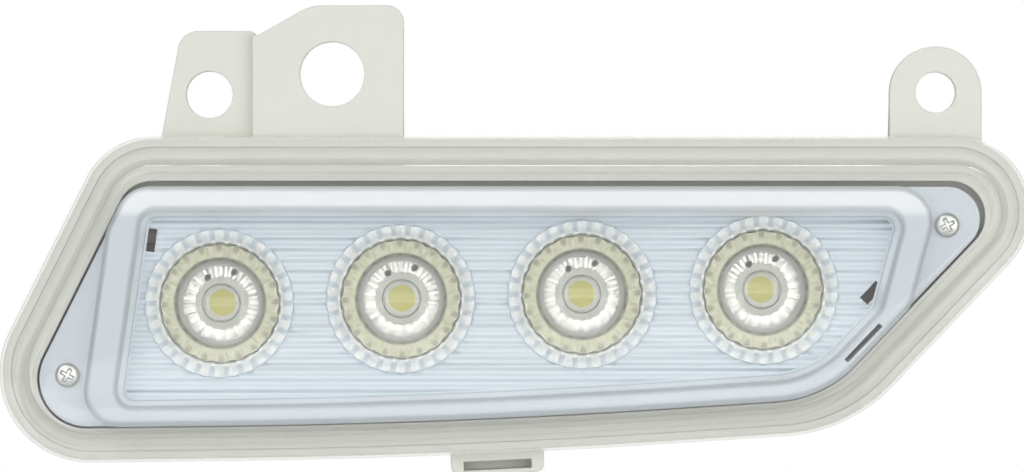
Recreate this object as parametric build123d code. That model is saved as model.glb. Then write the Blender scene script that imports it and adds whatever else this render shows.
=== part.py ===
from build123d import *
import os
from math import atan, cos, degrees, radians, sin, tan

# A four-LED daytime running light for a car's front bumper.
# Frame: X to the right as seen from the front, Z up, the lens looks along -Y.
# The origin is the centre of the large fixing hole, at the rear seating face of its ear.
# Lengths are millimetres and angles are degrees.

# Rim outline: a leaning shape whose edges are set by one point and one slope each
RIM_DROP = 11.25            # top edge below the large fixing hole
RIM_LEFT = 40.4             # sharp top left corner to the left of that hole
RIM_LENGTH = 184.0          # top edge between its sharp corners
RIM_HEIGHT = 58.95          # left end, between its sharp corners
LEFT_LEAN = 63.4            # slope of the left end
RIGHT_LEAN = 46.4           # slope of the right end
BOTTOM_LEFT_RISE = 0.7      # slope of the bottom edge, left stretch
BOTTOM_RIGHT_RISE = 3.7     # slope of the bottom edge, right stretch
BOTTOM_LEFT_RUN = 90.0      # left stretch of the bottom edge
BOTTOM_LEFT_R = 16.2
BOTTOM_SWEEP_R = 1500.0
BOTTOM_RIGHT_R = 29.0
TOP_RIGHT_R = 13.5
TOP_LEFT_R = 13.5
LEAST_R = 0.8               # tightest corner left on an inner outline
FILLET_SHARE = 0.98         # most of an edge that its two corners may take
HALF_TURN = 180.0

# Seal channel round the housing's rim
RIM_FRONT = 4.0             # lens seat in front of the ears' seating face
RIM_OVERHANG = 0.4          # lens edge past the housing's edge
CHANNEL_WALL = 1.5
CHANNEL_W = 3.1
CHANNEL_DEPTH = 6.0
CHANNEL_FLOOR_T = 2.4
INNER_WALL = 2.2
INNER_WALL_DROP = 0.3       # inner wall short of the lens flange
TOP_GAP = 0.6               # extra gap above the bezel, along the top edge

# Housing tray behind the rim
TRAY_WALL = 2.2
TRAY_DRAFT = 2.0
TRAY_EDGE = 1.4             # bevel round the floor
FLOOR_T = 2.4
FLOOR_BEHIND_BOARD = 4.9    # gap between board and floor
TOP_LEDGE = 1.4             # bezel and tray keep this much further from the top edge
LOW_REACH = 1.2             # bezel, tray and raised lens come this much nearer the bottom edge
RIB_T = 1.6
RIB_PITCH = 26.0
RIB_COUNT = 5
RIB_DEPTH = 9.0

# Fixing ears
EAR_T = 3.0
MAIN_HOLE_R = 5.8
MAIN_EAR_LEFT = 13.4
MAIN_EAR_RIGHT = 12.9
MAIN_EAR_TOP = 12.4
MAIN_EAR_SHOULDER = 7.0     # height of the left side, where the slope starts
MAIN_EAR_SLOPE = 29.5
MAIN_EAR_R = 3.0
MAIN_EAR_SLOPE_R = 8.0
SMALL_HOLE_R = 4.2
SMALL_HOLE_X = -22.2
SMALL_HOLE_Z = -3.65
SMALL_EAR_TOP = 11.5        # above its hole
SMALL_EAR_LEFT = 9.0        # left side from its hole, at the rim
SMALL_EAR_LEAN = 79.5
SMALL_EAR_R = 3.6
SMALL_EAR_SETBACK = 2.5     # behind the main ear
EAR_STEP_T = 2.0            # wall that joins the two left ears
RIGHT_HOLE_R = 3.65
RIGHT_HOLE_IN = 34.9        # from the rim's sharp top right corner
RIGHT_HOLE_Z = -3.3
RIGHT_EAR_R = 8.3
GUSSET_H = 8.0

# Locating clip under the bottom edge
CLIP_X = 29.9
CLIP_W = 16.8
CLIP_DROP = 3.5
CLIP_TILT = 2.8
CLIP_DEPTH = 6.0
CLIP_CORNER_R = 1.5
CLIP_SLOT_H = 1.6
CLIP_SLOT_DEPTH = 4.4
CLIP_WALL = 2.3

# Cover lens
LENS_STEP = 3.9             # flange width, from the rim to the raised front
LENS_WALL = 2.4
LENS_FLANGE_T = 2.4
LENS_RISE = 9.0             # raised front above the flange
LENS_DRAFT = 8.0
LENS_EDGE = 1.4             # bevel round the raised front
TONGUE_T = 1.5
TONGUE_DEPTH = 1.6          # into the channel, down to the seal
SEAL_FIT = 0.05

# Reflector bezel
BEZEL_GAP = 0.4             # to the housing's inner wall
BEZEL_SKIRT_T = 1.8
BEZEL_T = 1.8
LEDGE_MARGIN = 0.2          # ledge wider than the skirt that stands on it
BEZEL_HEIGHT = 12.0         # raised frame above its seat
PANEL_DEPTH = 7.0           # recessed panel behind the frame's front
WING_T = 2.3
FRAME_TOP_W = 5.5           # raised frame from its outside to the panel, along the top
FRAME_LOW_W = 4.6           # along the bottom and up the right end
FRAME_LEFT_W = 6.85
FRAME_RIGHT_W = 6.27
FRAME_WALL_RUN = 1.0        # lean of the wall from the frame down to the panel
FRAME_EDGE = 1.0            # bevel along the outside of the raised frame
FRAME_LEFT_IN = 1.1         # raised frame's left end, from the rim's sharp top left corner
FRAME_LEFT_LEAN = 82.0
FRAME_RIGHT_IN = 33.8       # and its right end, from the top right corner
FRAME_RIGHT_LEAN = 75.0
FRAME_R = 6.5
PANEL_R = 2.0
PORT_LEFT = (6.6, -9.65)    # opening at the panel's upper left, from the frame's top left
PORT_RIGHT = (-11.7, -19.15)          # opening at its lower right, from the frame's top right
PORT_L = 4.2
PORT_W = 1.9
SLIT_AT = (-14.4, -28.05)   # slit in the raised frame, from its top right
SLIT_L = 9.0
SLIT_W = 0.9
FLUTE_PITCH = 1.95
FLUTE_DEPTH = 0.7
FLUTE_MARGIN = 0.4
CUP_R = 13.1
CUP_MOUTH_R = 11.4
CUP_BEVEL = 1.6             # depth of the toothed bevel round a cup
CUP_DEPTH = 4.6
CUP_WALL = 1.2
CUP_SIDES = 16              # flats round the outside of a cup
CUP_TEETH = 30
CUP_TOOTH = 0.6

# LED row, set by its ends, its height and its slope
LED_COUNT = 4
FIRST_LED_IN = 18.97        # from the raised frame's left end
LAST_LED_IN = 32.07         # from the raised frame's right end
ROW_RAISE = 0.625           # above the middle of the rim's height
ROW_TILT = 1.42

# Collimators, LEDs and board
COLLIMATOR_R = 10.75
COLLIMATOR_H = 11.0
COLLIMATOR_IN_CUP = 1.1     # face inside the cup's mouth
COLLIMATOR_RIM_T = 1.2
COLLIMATOR_FLUTES = 20
COLLIMATOR_FLUTE = 0.55
COLLIMATOR_FOOT_R = 4.8
COLLIMATOR_FOOT_H = 1.8     # body above the board
WELL_R = 8.25
WELL_FLOOR_R = 7.1
WELL_DEPTH = 3.5
CENTRE_LENS_R = 3.5
CENTRE_LENS_H = 1.0
LED_CAVITY_R = 3.4
LED_CAVITY_H = 5.0
LEG_COUNT = 3
LEG_R = 7.6                 # from the optic's axis
LEG_W = 1.8
LED_W = 4.4
LED_T = 0.8
PHOSPHOR_R = 1.7
PHOSPHOR_T = 0.4
BOARD_T = 1.6
BOARD_H = 26.0
BOARD_LEFT = 21.95          # past the first LED
BOARD_RIGHT = 11.45         # past the last LED
BOARD_CLEARANCE = 1.2       # to the tray's wall
PAD_T = 0.5

# Heat sink in the rear window
WINDOW_MARGIN = 4.0         # past the outer LEDs
WINDOW_H = 21.0
WINDOW_GAP = 0.3
GASKET_T = 1.0
SINK_END_LAP = 5.5
SINK_SIDE_LAP = 3.5
SINK_FLANGE_T = 3.0
SINK_FRAME_T = 1.6          # wall round the flange
SINK_FRAME_GAP = 0.3
FIN_PITCH = 6.0
FIN_T = 1.8
FIN_H = 10.6
FIN_DRAFT = 1.0

# Screws, all one size, and the flats of small rounds
SMALL_SIDES = 12
SCREW_R = 1.4
SCREW_HEAD_R = 2.2
SCREW_HEAD_H = 1.8
SCREW_TIP = 1.0
SCREW_HOLE_GAP = 0.2
THREAD_FIT = 0.03
BOSS_R = 2.3
BEZEL_SCREW_BITE = 7.7      # thread in the housing's bosses
SINK_SCREW_BITE = 3.2       # thread past the housing's floor
BEZEL_SCREW_LEFT = (22.3, 16.0)       # from the rim's sharp bottom left corner
BEZEL_SCREW_RIGHT = (-32.86, -15.95)  # from its sharp top right corner

# Connector in the rear wall
SOCKET_AT = (19.05, 6.93)   # from the last LED, along and across the row
SOCKET_W = 7.0
SOCKET_H = 11.0
SOCKET_WALL = 1.6
SOCKET_DEPTH = 13.0
SOCKET_CORNER = 1.2         # bevel of the socket's corners
CONNECTOR_LAP = 1.6         # flange past the socket's wall
CONNECTOR_FLANGE_T = 2.2
CONNECTOR_SEAL_T = 1.0
SPIGOT_STEP = 0.9           # spigot inside the socket's outer wall
SPIGOT_FIT = 0.1
SPIGOT_PROUD = 2.6
HOOK_W = 4.0
HOOK_REACH = 0.7
LATCH_W = 4.0
LATCH_H = 1.2
BLADE_W = 2.8
BLADE_T = 0.8
BLADE_PITCH = 5.0
BLADE_SHORT = 5.0           # blade tip inside the socket's mouth
BLADE_FIT = 0.03
BLADE_BEND_R = 1.0
BLADE_ON_BOARD = 3.0

# Driver parts on the board, placed from the first LED and from the board's long edges
CHIP_BEFORE_LED = 16.45
CHIP_BELOW_TOP = 8.5
CHIP_W = 4.0
CHIP_L = 5.0
CHIP_T = 1.5
CHIP_LEGS = 4               # on each side
CHIP_LEG_W = 0.45
CHIP_LEG_REACH = 1.0
INDUCTOR_BEFORE_LED = 17.25
INDUCTOR_ABOVE_BOTTOM = 7.4
INDUCTOR_W = 7.0
INDUCTOR_H = 4.2
INDUCTOR_CAP_R = 2.8
INDUCTOR_CAP_H = 0.5
DIODE_BEFORE_LED = 13.75
DIODE_BELOW_TOP = 3.2
DIODE_L = 4.6
DIODE_W = 2.8
DIODE_H = 2.2
DIODE_DRAFT = 8.0
DIODE_TAB_L = 0.8
DIODE_TAB_W = 1.6
CAPACITOR_BEFORE_LED = 10.55
CAPACITOR_BELOW_TOP = 13.0
CAPACITOR_PITCH = 3.4
CAPACITOR_L = 3.2
CAPACITOR_W = 1.6
CAPACITOR_H = 1.5
RESISTOR_ACROSS = -7.5
RESISTOR_L = 3.2
RESISTOR_W = 1.6
RESISTOR_H = 0.6
CHIP_CAP_L = 0.5            # metal end of a chip capacitor or resistor
CHIP_CAP_STEP = 0.08        # how far that end stands proud

# Breather
VENT_AT = (-18.3, -5.23)    # from the first LED, along and across the row
VENT_BORE_R = 1.4
VENT_STUB_R = 2.8
VENT_STUB_H = 4.0
VENT_CAP_WALL = 1.6
VENT_CAP_TOP = 1.6
VENT_SLOT_W = 1.2
VENT_SLOT_DEEP = 0.8
VENT_STANDS_OFF = 0.8       # cap above the housing's floor
VENT_FIT = 0.1

# Depths along Y, worked out from the front of the ears to the rear
seat_y = -RIM_FRONT
channel_floor_y = seat_y + CHANNEL_DEPTH
ledge_back_y = channel_floor_y + CHANNEL_FLOOR_T
frame_front_y = channel_floor_y - BEZEL_HEIGHT
panel_y = frame_front_y + PANEL_DEPTH
panel_back_y = panel_y + BEZEL_T
wing_front_y = panel_back_y - WING_T
cup_back_y = panel_y + CUP_DEPTH
collimator_front_y = cup_back_y - COLLIMATOR_IN_CUP
board_front_y = collimator_front_y + COLLIMATOR_H
board_back_y = board_front_y + BOARD_T
pedestal_y = board_back_y + PAD_T
floor_front_y = board_back_y + FLOOR_BEHIND_BOARD
floor_back_y = floor_front_y + FLOOR_T
sink_seat_y = floor_back_y + GASKET_T
fin_root_y = sink_seat_y + SINK_FLANGE_T
connector_seat_y = floor_back_y + CONNECTOR_SEAL_T
socket_floor_y = connector_seat_y + CONNECTOR_FLANGE_T
socket_mouth_y = socket_floor_y + SOCKET_DEPTH

# Insets from the rim's outline
channel_out = RIM_OVERHANG + CHANNEL_WALL
channel_in = channel_out + CHANNEL_W
inner_wall_in = channel_in + INNER_WALL
bezel_in = inner_wall_in + BEZEL_GAP
tray_in = bezel_in + BEZEL_SKIRT_T + LEDGE_MARGIN
tray_out = tray_in - TRAY_WALL
floor_draft = (floor_back_y - ledge_back_y) * tan(radians(TRAY_DRAFT))

# LED row between the ends of the raised frame
frame_left_x = FRAME_LEFT_IN - RIM_LEFT
frame_right_x = RIM_LENGTH - RIM_LEFT - FRAME_RIGHT_IN
first_led_x = frame_left_x + FIRST_LED_IN
last_led_x = frame_right_x - LAST_LED_IN
row_x = (first_led_x + last_led_x) / 2
row_z = ROW_RAISE - RIM_DROP - RIM_HEIGHT / 2
led_span = (last_led_x - first_led_x) / cos(radians(ROW_TILT))
led_pitch = led_span / (LED_COUNT - 1)
led_offsets = [i * led_pitch - led_span / 2 for i in range(LED_COUNT)]
gap_offsets = [along + led_pitch / 2 for along in led_offsets[:-1]]
board_left = led_offsets[0] - BOARD_LEFT
board_right = led_offsets[-1] + BOARD_RIGHT

# Heat sink sizes that follow the LED row
window_l = led_span + 2 * WINDOW_MARGIN
flange_l = window_l + 2 * SINK_END_LAP
flange_h = WINDOW_H + 2 * SINK_SIDE_LAP
sink_screw_x = (window_l + SINK_END_LAP) / 2
right_hole_x = RIM_LENGTH - RIM_LEFT - RIGHT_HOLE_IN


UPRIGHT = (Align.CENTER, Align.CENTER, Align.MIN)


def facing(y):
    """Plane at depth y that faces the viewer, with sketch axes along X and Z."""
    return Plane(origin=(0, y, 0), x_dir=(1, 0, 0), z_dir=(0, -1, 0))


def on_row(y, along=0.0, across=0.0):
    """Plane at depth y that faces the viewer, set on the tilted LED row."""
    lean = radians(ROW_TILT)
    x_dir = Vector(cos(lean), 0, sin(lean))
    z_dir = Vector(-sin(lean), 0, cos(lean))
    origin = Vector(row_x, y, row_z) + x_dir * along + z_dir * across
    return Plane(origin=origin, x_dir=x_dir, z_dir=(0, -1, 0))


def slab(face, back, front):
    """A front-view face made solid between two depths."""
    return extrude(facing(back) * face, back - front)


def row_slab(face, back, front, along=0.0, across=0.0):
    """A face drawn on the LED row made solid between two depths."""
    return extrude(on_row(back, along, across) * face, back - front)


def heading(angle):
    """Unit vector of the sketch plane at an angle."""
    return Vector(cos(radians(angle)), sin(radians(angle)))


def moved_in(lines, inset):
    """Edge lines moved to their left, which is into the outline."""
    return [(point + heading(angle + 90) * inset, angle) for point, angle in lines]


def meeting(line, other):
    """Point where two edge lines cross."""
    along = heading(line[1])
    across = heading(other[1])
    gap = other[0] - line[0]
    reach = (gap.X * across.Y - gap.Y * across.X) / (along.X * across.Y - along.Y * across.X)
    return line[0] + along * reach


def outline(lines, radii, inset=0.0):
    """Face inside edge lines that run anticlockwise, with rounded corners, moved in by the inset."""
    edges = moved_in(lines, inset)
    corners = [meeting(edge, after) for edge, after in zip(edges, edges[1:] + edges[:1])]
    turns = [(after[1] - edge[1]) % 360 for edge, after in zip(edges, edges[1:] + edges[:1])]
    spread = [tan(radians(turn / 2)) for turn in turns]
    rounds = [max(radius - inset, LEAST_R) for radius in radii]
    for i in range(len(corners)):
        room = (corners[i] - corners[i - 1]).length * FILLET_SHARE
        taken = rounds[i] * spread[i] + rounds[i - 1] * spread[i - 1]
        if taken > room:
            rounds[i] *= room / taken
            rounds[i - 1] *= room / taken
    return make_face(FilletPolyline(*corners, radius=rounds, close=True))


top_left = Vector(-RIM_LEFT, -RIM_DROP)
top_right = top_left + Vector(RIM_LENGTH, 0)
bottom_left = top_left - heading(LEFT_LEAN) * (RIM_HEIGHT / sin(radians(LEFT_LEAN)))
bottom_break = bottom_left + heading(BOTTOM_LEFT_RISE) * BOTTOM_LEFT_RUN
left_line = (top_left, LEFT_LEAN + HALF_TURN)
bottom_left_line = (bottom_left, BOTTOM_LEFT_RISE)
bottom_right_line = (bottom_break, BOTTOM_RIGHT_RISE)
low_lines = moved_in([bottom_left_line, bottom_right_line], -LOW_REACH)
right_line = (top_right, RIGHT_LEAN)
top_line = (top_left, HALF_TURN)
ledge_top_line = (top_left - Vector(0, TOP_LEDGE), HALF_TURN)
rim_radii = [BOTTOM_LEFT_R, BOTTOM_SWEEP_R, BOTTOM_RIGHT_R, TOP_RIGHT_R, TOP_LEFT_R]


def rim(inset):
    """Outline of the lamp's rim, moved in by the inset."""
    lines = [left_line, bottom_left_line, bottom_right_line, right_line, top_line]
    return outline(lines, rim_radii, inset)


def dome(inset):
    """Outline of the cover's raised front, which comes nearer the bottom edge, moved in by the inset."""
    return outline([left_line, *low_lines, right_line, top_line], rim_radii, inset)


def inner(inset, lift=0.0):
    """Outline of the bezel and the tray, which also keep further from the top edge, less a lift."""
    top = (ledge_top_line[0] + Vector(0, lift), ledge_top_line[1])
    return outline([left_line, *low_lines, right_line, top], rim_radii, inset)


def frame_lines():
    """Edge lines of the bezel's raised frame: the bezel's own edges and the two ends."""
    bezel_lines = [left_line, *low_lines, right_line, ledge_top_line]
    left, low_left, low_right, right, top = moved_in(bezel_lines, bezel_in)
    left_end = (Vector(frame_left_x, top[0].Y), FRAME_LEFT_LEAN + HALF_TURN)
    right_end = (Vector(frame_right_x, top[0].Y), FRAME_RIGHT_LEAN)
    return [left, left_end, low_left, low_right, right, right_end, top]


def raised_frame(inset):
    """Outline of the bezel's raised frame, moved in by the inset."""
    low_right_r = BOTTOM_RIGHT_R - bezel_in
    radii = [FRAME_R, FRAME_R, BOTTOM_SWEEP_R, low_right_r, FRAME_R, FRAME_R, FRAME_R]
    return outline(frame_lines(), radii, inset)


def panel(inset):
    """Outline of the recessed panel inside the raised frame, moved in by the inset."""
    widths = [FRAME_LEFT_W, FRAME_LOW_W, FRAME_LOW_W, FRAME_LOW_W, FRAME_RIGHT_W, FRAME_TOP_W]
    lines = [moved_in([line], width)[0] for line, width in zip(frame_lines()[1:], widths)]
    low_right_r = BOTTOM_RIGHT_R - bezel_in - FRAME_LOW_W
    return outline(lines, [PANEL_R, BOTTOM_SWEEP_R, low_right_r, PANEL_R, PANEL_R, PANEL_R], inset)


def between(face, back, back_inset, front, front_inset):
    """Solid with flat sloping sides between an outline at two insets and two depths."""
    slope = degrees(atan((front_inset - back_inset) / (back - front)))
    block = slab(face(back_inset), back, front)
    return draft(block.faces().filter_by(Axis.Y, reverse=True), facing(back), slope)


def ring_of_points(radii, count, height):
    """Points round the Z axis that take the given radii in turn."""
    steps = count * len(radii)
    return [heading(360 * i / steps) * radii[i % len(radii)] + Vector(0, 0, height) for i in range(steps)]


def faceted(low, high):
    """Flat-sided solid between two rings with as many points each."""
    faces = [Face(Wire.make_polygon(low)), Face(Wire.make_polygon(high))]
    for i in range(len(low)):
        faces.append(Face(Wire.make_polygon([low[i - 1], low[i], high[i], high[i - 1]])))
    return Solid(Shell(faces))


def small_round(radius):
    """Face of a small round, drawn with a few flats."""
    return RegularPolygon(radius, SMALL_SIDES)


def screw(length):
    """Hexagon-head screw along -Z with the underside of its head at the origin."""
    head = extrude(RegularPolygon(SCREW_HEAD_R, 6), SCREW_HEAD_H)
    return head + extrude(small_round(SCREW_R), -length)


def left_ears():
    """The stepped pair of ears: a large-hole plate and a small-hole plate set back beside it."""
    foot = -RIM_DROP - channel_out
    slope_run = (MAIN_EAR_TOP - MAIN_EAR_SHOULDER) / tan(radians(MAIN_EAR_SLOPE))
    main_face = make_face(
        FilletPolyline(
            (-MAIN_EAR_LEFT, foot),
            (MAIN_EAR_RIGHT, foot),
            (MAIN_EAR_RIGHT, MAIN_EAR_TOP),
            (slope_run - MAIN_EAR_LEFT, MAIN_EAR_TOP),
            (-MAIN_EAR_LEFT, MAIN_EAR_SHOULDER),
            radius=[0, 0, MAIN_EAR_R, MAIN_EAR_SLOPE_R, 0],
            close=True,
        )
    )
    main = slab(main_face - Circle(MAIN_HOLE_R), 0, -EAR_T)
    small_left = SMALL_HOLE_X - SMALL_EAR_LEFT
    small_top = SMALL_HOLE_Z + SMALL_EAR_TOP
    lean_run = (small_top - foot) / tan(radians(SMALL_EAR_LEAN))
    small_face = make_face(
        FilletPolyline(
            (small_left, foot),
            (-MAIN_EAR_LEFT, foot),
            (-MAIN_EAR_LEFT, small_top),
            (small_left + lean_run, small_top),
            radius=[0, 0, SMALL_EAR_R / 2, SMALL_EAR_R],
            close=True,
        )
    )
    small_hole = Pos(SMALL_HOLE_X, SMALL_HOLE_Z) * Circle(SMALL_HOLE_R)
    small = slab(small_face - small_hole, SMALL_EAR_SETBACK, SMALL_EAR_SETBACK - EAR_T)
    step_h = MAIN_EAR_SHOULDER - foot
    step_face = Pos(-MAIN_EAR_LEFT, foot) * Rectangle(EAR_STEP_T, step_h, align=(Align.CENTER, Align.MIN))
    return main + small + slab(step_face, SMALL_EAR_SETBACK, -EAR_T)


def right_ear():
    """The round-ended ear at the other end."""
    foot = -RIM_DROP - channel_out
    stem_h = RIGHT_HOLE_Z - foot
    stem = Pos(right_hole_x, foot) * Rectangle(2 * RIGHT_EAR_R, stem_h, align=(Align.CENTER, Align.MIN))
    hole_at = Pos(right_hole_x, RIGHT_HOLE_Z)
    return slab(stem + hole_at * Circle(RIGHT_EAR_R) - hole_at * Circle(RIGHT_HOLE_R), 0, -EAR_T)


def ear_gussets():
    """Triangular webs behind the ears, down to the back of the rim."""
    foot = -RIM_DROP - channel_out
    web = make_face(Polyline((-EAR_T / 2, foot), (ledge_back_y, foot), (0, GUSSET_H + foot), close=True))
    half = RIB_T / 2
    places = [-MAIN_EAR_LEFT + half, MAIN_EAR_RIGHT - half]
    places += [right_hole_x - RIGHT_EAR_R + half, right_hole_x + RIGHT_EAR_R - half]
    return [extrude(Plane.YZ.offset(x) * web, half, both=True) for x in places]


def clip():
    """Locating clip under the bottom edge, open at the front."""
    edge_z = meeting(bottom_right_line, (Vector(CLIP_X, 0), 90.0)).Y
    block = Rectangle(CLIP_W, CLIP_DROP + channel_out, align=(Align.CENTER, Align.MIN))
    block = fillet(block.vertices().group_by(Axis.Y)[0], CLIP_CORNER_R)
    slot_w = CLIP_W - 2 * CLIP_WALL
    slot = Pos(0, CLIP_SLOT_H / 2) * Rectangle(slot_w, CLIP_SLOT_H, align=(Align.CENTER, Align.MIN))
    place = Pos(CLIP_X, edge_z - CLIP_DROP) * Rot(0, 0, CLIP_TILT)
    front = -EAR_T
    body = slab(place * block, front + CLIP_DEPTH, front)
    return body - slab(place * slot, front + CLIP_SLOT_DEPTH, front)


def rim_ribs():
    """Webs that run down from the back of the rim to the tray, above, below and at both ends."""
    rib_end_y = ledge_back_y + RIB_DEPTH
    run = tray_out - RIM_OVERHANG
    half = RIB_T / 2
    ribs = []
    for i in range(RIB_COUNT):
        upright = (Vector(row_x + (i - (RIB_COUNT - 1) / 2) * RIB_PITCH, 0), 90.0)
        low_line = bottom_left_line if upright[0].X < bottom_break.X else bottom_right_line
        low = meeting(low_line, upright).Y + 2 * RIM_OVERHANG
        high = -RIM_DROP - 2 * RIM_OVERHANG
        web = Polyline(
            (ledge_back_y, low),
            (ledge_back_y, high),
            (rib_end_y, high - run),
            (rib_end_y, low + run),
            close=True,
        )
        ribs.append(extrude(Plane.YZ.offset(upright[0].X) * make_face(web), half, both=True))
    level = (Vector(row_x, row_z), 0.0)
    left = meeting(left_line, level).X + 2 * RIM_OVERHANG
    right = meeting(right_line, level).X - 2 * RIM_OVERHANG
    web = Polyline(
        (left, ledge_back_y),
        (right, ledge_back_y),
        (right - run, rib_end_y),
        (left + run, rib_end_y),
        close=True,
    )
    ribs.append(extrude(Plane.XY.offset(row_z) * make_face(web), half, both=True))
    return ribs


def bezel_screw_places():
    """Front-view places of the two screws through the bezel's wings."""
    return [Pos(bottom_left + Vector(*BEZEL_SCREW_LEFT)), Pos(top_right + Vector(*BEZEL_SCREW_RIGHT))]


def sink_screw_places():
    """Offsets on the LED row of the screws through the ends of the heat sink's flange."""
    return [-sink_screw_x, sink_screw_x]


def beside_led(led, at):
    """Front-view point at an offset from one LED, along and across the row."""
    spot = on_row(0, led_offsets[led] + at[0], at[1]).origin
    return Vector(spot.X, spot.Z)


socket_at = beside_led(-1, SOCKET_AT)
vent_at = beside_led(0, VENT_AT)


def socket_outline(grow):
    """Outline of the socket with bevelled corners, grown past its inside by an amount."""
    face = Rectangle(SOCKET_W + 2 * grow, SOCKET_H + 2 * grow)
    return chamfer(face.vertices(), SOCKET_CORNER + grow / 2)


def rear_housing():
    """Moulded tray with the seal channel, ears, clip, ribs, bosses and rear openings."""
    shell = slab(rim(RIM_OVERHANG), ledge_back_y, seat_y)
    tray = between(inner, floor_back_y, tray_out + floor_draft, ledge_back_y, tray_out)
    tray = chamfer(tray.faces().sort_by(Axis.Y)[-1].edges(), TRAY_EDGE)
    shell = shell + tray + left_ears() + right_ear() + ear_gussets() + clip() + rim_ribs()
    shell -= slab(rim(channel_out) - rim(channel_in), channel_floor_y, seat_y)
    shell -= slab(rim(channel_out), seat_y + INNER_WALL_DROP, seat_y)
    shell -= slab(inner(inner_wall_in, TOP_GAP), channel_floor_y, seat_y)
    shell -= between(inner, floor_front_y, tray_in + floor_draft, channel_floor_y, tray_in)
    bosses = []
    for place in bezel_screw_places():
        bosses.append(slab(place * small_round(BOSS_R), floor_front_y, panel_back_y))
    pilots = []
    for place in bezel_screw_places():
        bottom = panel_back_y + BEZEL_SCREW_BITE + SCREW_TIP
        pilots.append(slab(place * small_round(SCREW_R + THREAD_FIT), bottom, panel_back_y))
    for along in sink_screw_places():
        bosses.append(row_slab(small_round(BOSS_R), floor_front_y, pedestal_y, along))
        bottom = floor_front_y - SINK_SCREW_BITE - SCREW_TIP / 2
        pilots.append(row_slab(small_round(SCREW_R + THREAD_FIT), floor_back_y, bottom, along))
    frame_gap = SINK_FRAME_GAP + SINK_FRAME_T
    frame = Rectangle(flange_l + 2 * frame_gap, flange_h + 2 * frame_gap)
    frame -= Rectangle(flange_l + 2 * SINK_FRAME_GAP, flange_h + 2 * SINK_FRAME_GAP)
    shell += row_slab(frame, sink_seat_y + SINK_FLANGE_T / 2, floor_back_y)
    stub_at = Pos(vent_at)
    shell += slab(stub_at * small_round(VENT_STUB_R), floor_back_y + VENT_STUB_H, floor_back_y)
    shell += bosses
    shell -= pilots
    shell -= row_slab(Rectangle(window_l, WINDOW_H), floor_back_y, floor_front_y)
    spigot_hole = socket_outline(SOCKET_WALL - SPIGOT_STEP + SPIGOT_FIT)
    shell -= slab(Pos(socket_at) * spigot_hole, floor_back_y, floor_front_y)
    shell -= slab(stub_at * small_round(VENT_BORE_R), floor_back_y + VENT_STUB_H, floor_front_y)
    return shell


def cover_lens():
    """Clear cover: flange, raised front with drafted sides and a bevelled edge, and the seal's tongue."""
    flange_y = seat_y - LENS_FLANGE_T
    front_y = flange_y - LENS_RISE
    inside_y = front_y + LENS_WALL
    lean = tan(radians(LENS_DRAFT))
    raised = between(dome, seat_y, LENS_STEP, front_y, LENS_STEP + (seat_y - front_y) * lean)
    raised = chamfer(raised.faces().sort_by(Axis.Y)[0].edges(), LENS_EDGE)
    cavity_in = LENS_STEP + LENS_WALL
    cavity = between(dome, seat_y, cavity_in, inside_y, cavity_in + (seat_y - inside_y) * lean)
    flange = slab(rim(0), seat_y, flange_y)
    tongue_in = (channel_out + channel_in) / 2
    tongue = rim(tongue_in - TONGUE_T / 2) - rim(tongue_in + TONGUE_T / 2)
    return flange + raised + slab(tongue, seat_y + TONGUE_DEPTH, seat_y) - cavity


def seal_bead():
    """Soft seal in the bottom of the channel, which the lens's tongue stands on."""
    ring = rim(channel_out + SEAL_FIT) - rim(channel_in - SEAL_FIT)
    return slab(ring, channel_floor_y, seat_y + TONGUE_DEPTH)


def panel_flutes():
    """Horizontal grooves of the panel, as the solid to take away in front of them."""
    rows = int(RIM_HEIGHT / FLUTE_PITCH)
    start = -RIM_DROP - RIM_HEIGHT
    clear = FLUTE_DEPTH / 10
    edge = [(panel_y - FLUTE_DEPTH, start)]
    for i in range(rows):
        edge.append((panel_y + clear, start + i * FLUTE_PITCH))
        edge.append((panel_y + FLUTE_DEPTH, start + (i + 0.5) * FLUTE_PITCH))
    edge.append((panel_y - FLUTE_DEPTH, start + rows * FLUTE_PITCH))
    section = make_face(Polyline(*edge, close=True))
    grooves = extrude(Plane.YZ.offset(row_x) * section, RIM_LENGTH, both=True)
    return grooves & slab(panel(FLUTE_MARGIN), panel_y + 2 * FLUTE_DEPTH, panel_y - FLUTE_DEPTH)


def bezel_openings():
    """Two openings at corners of the panel and a slit in the raised frame, left by slides of the mould."""
    top = frame_lines()[-1][0].Y
    port = Rectangle(PORT_L, PORT_W)
    left = Pos(frame_left_x + PORT_LEFT[0], top + PORT_LEFT[1]) * Rot(0, 0, FRAME_LEFT_LEAN)
    right = Pos(frame_right_x + PORT_RIGHT[0], top + PORT_RIGHT[1]) * Rot(0, 0, RIGHT_LEAN)
    slit = Pos(frame_right_x + SLIT_AT[0], top + SLIT_AT[1]) * Rot(0, 0, RIGHT_LEAN)
    return left * port + right * port + slit * Rectangle(SLIT_L, SLIT_W)


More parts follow.
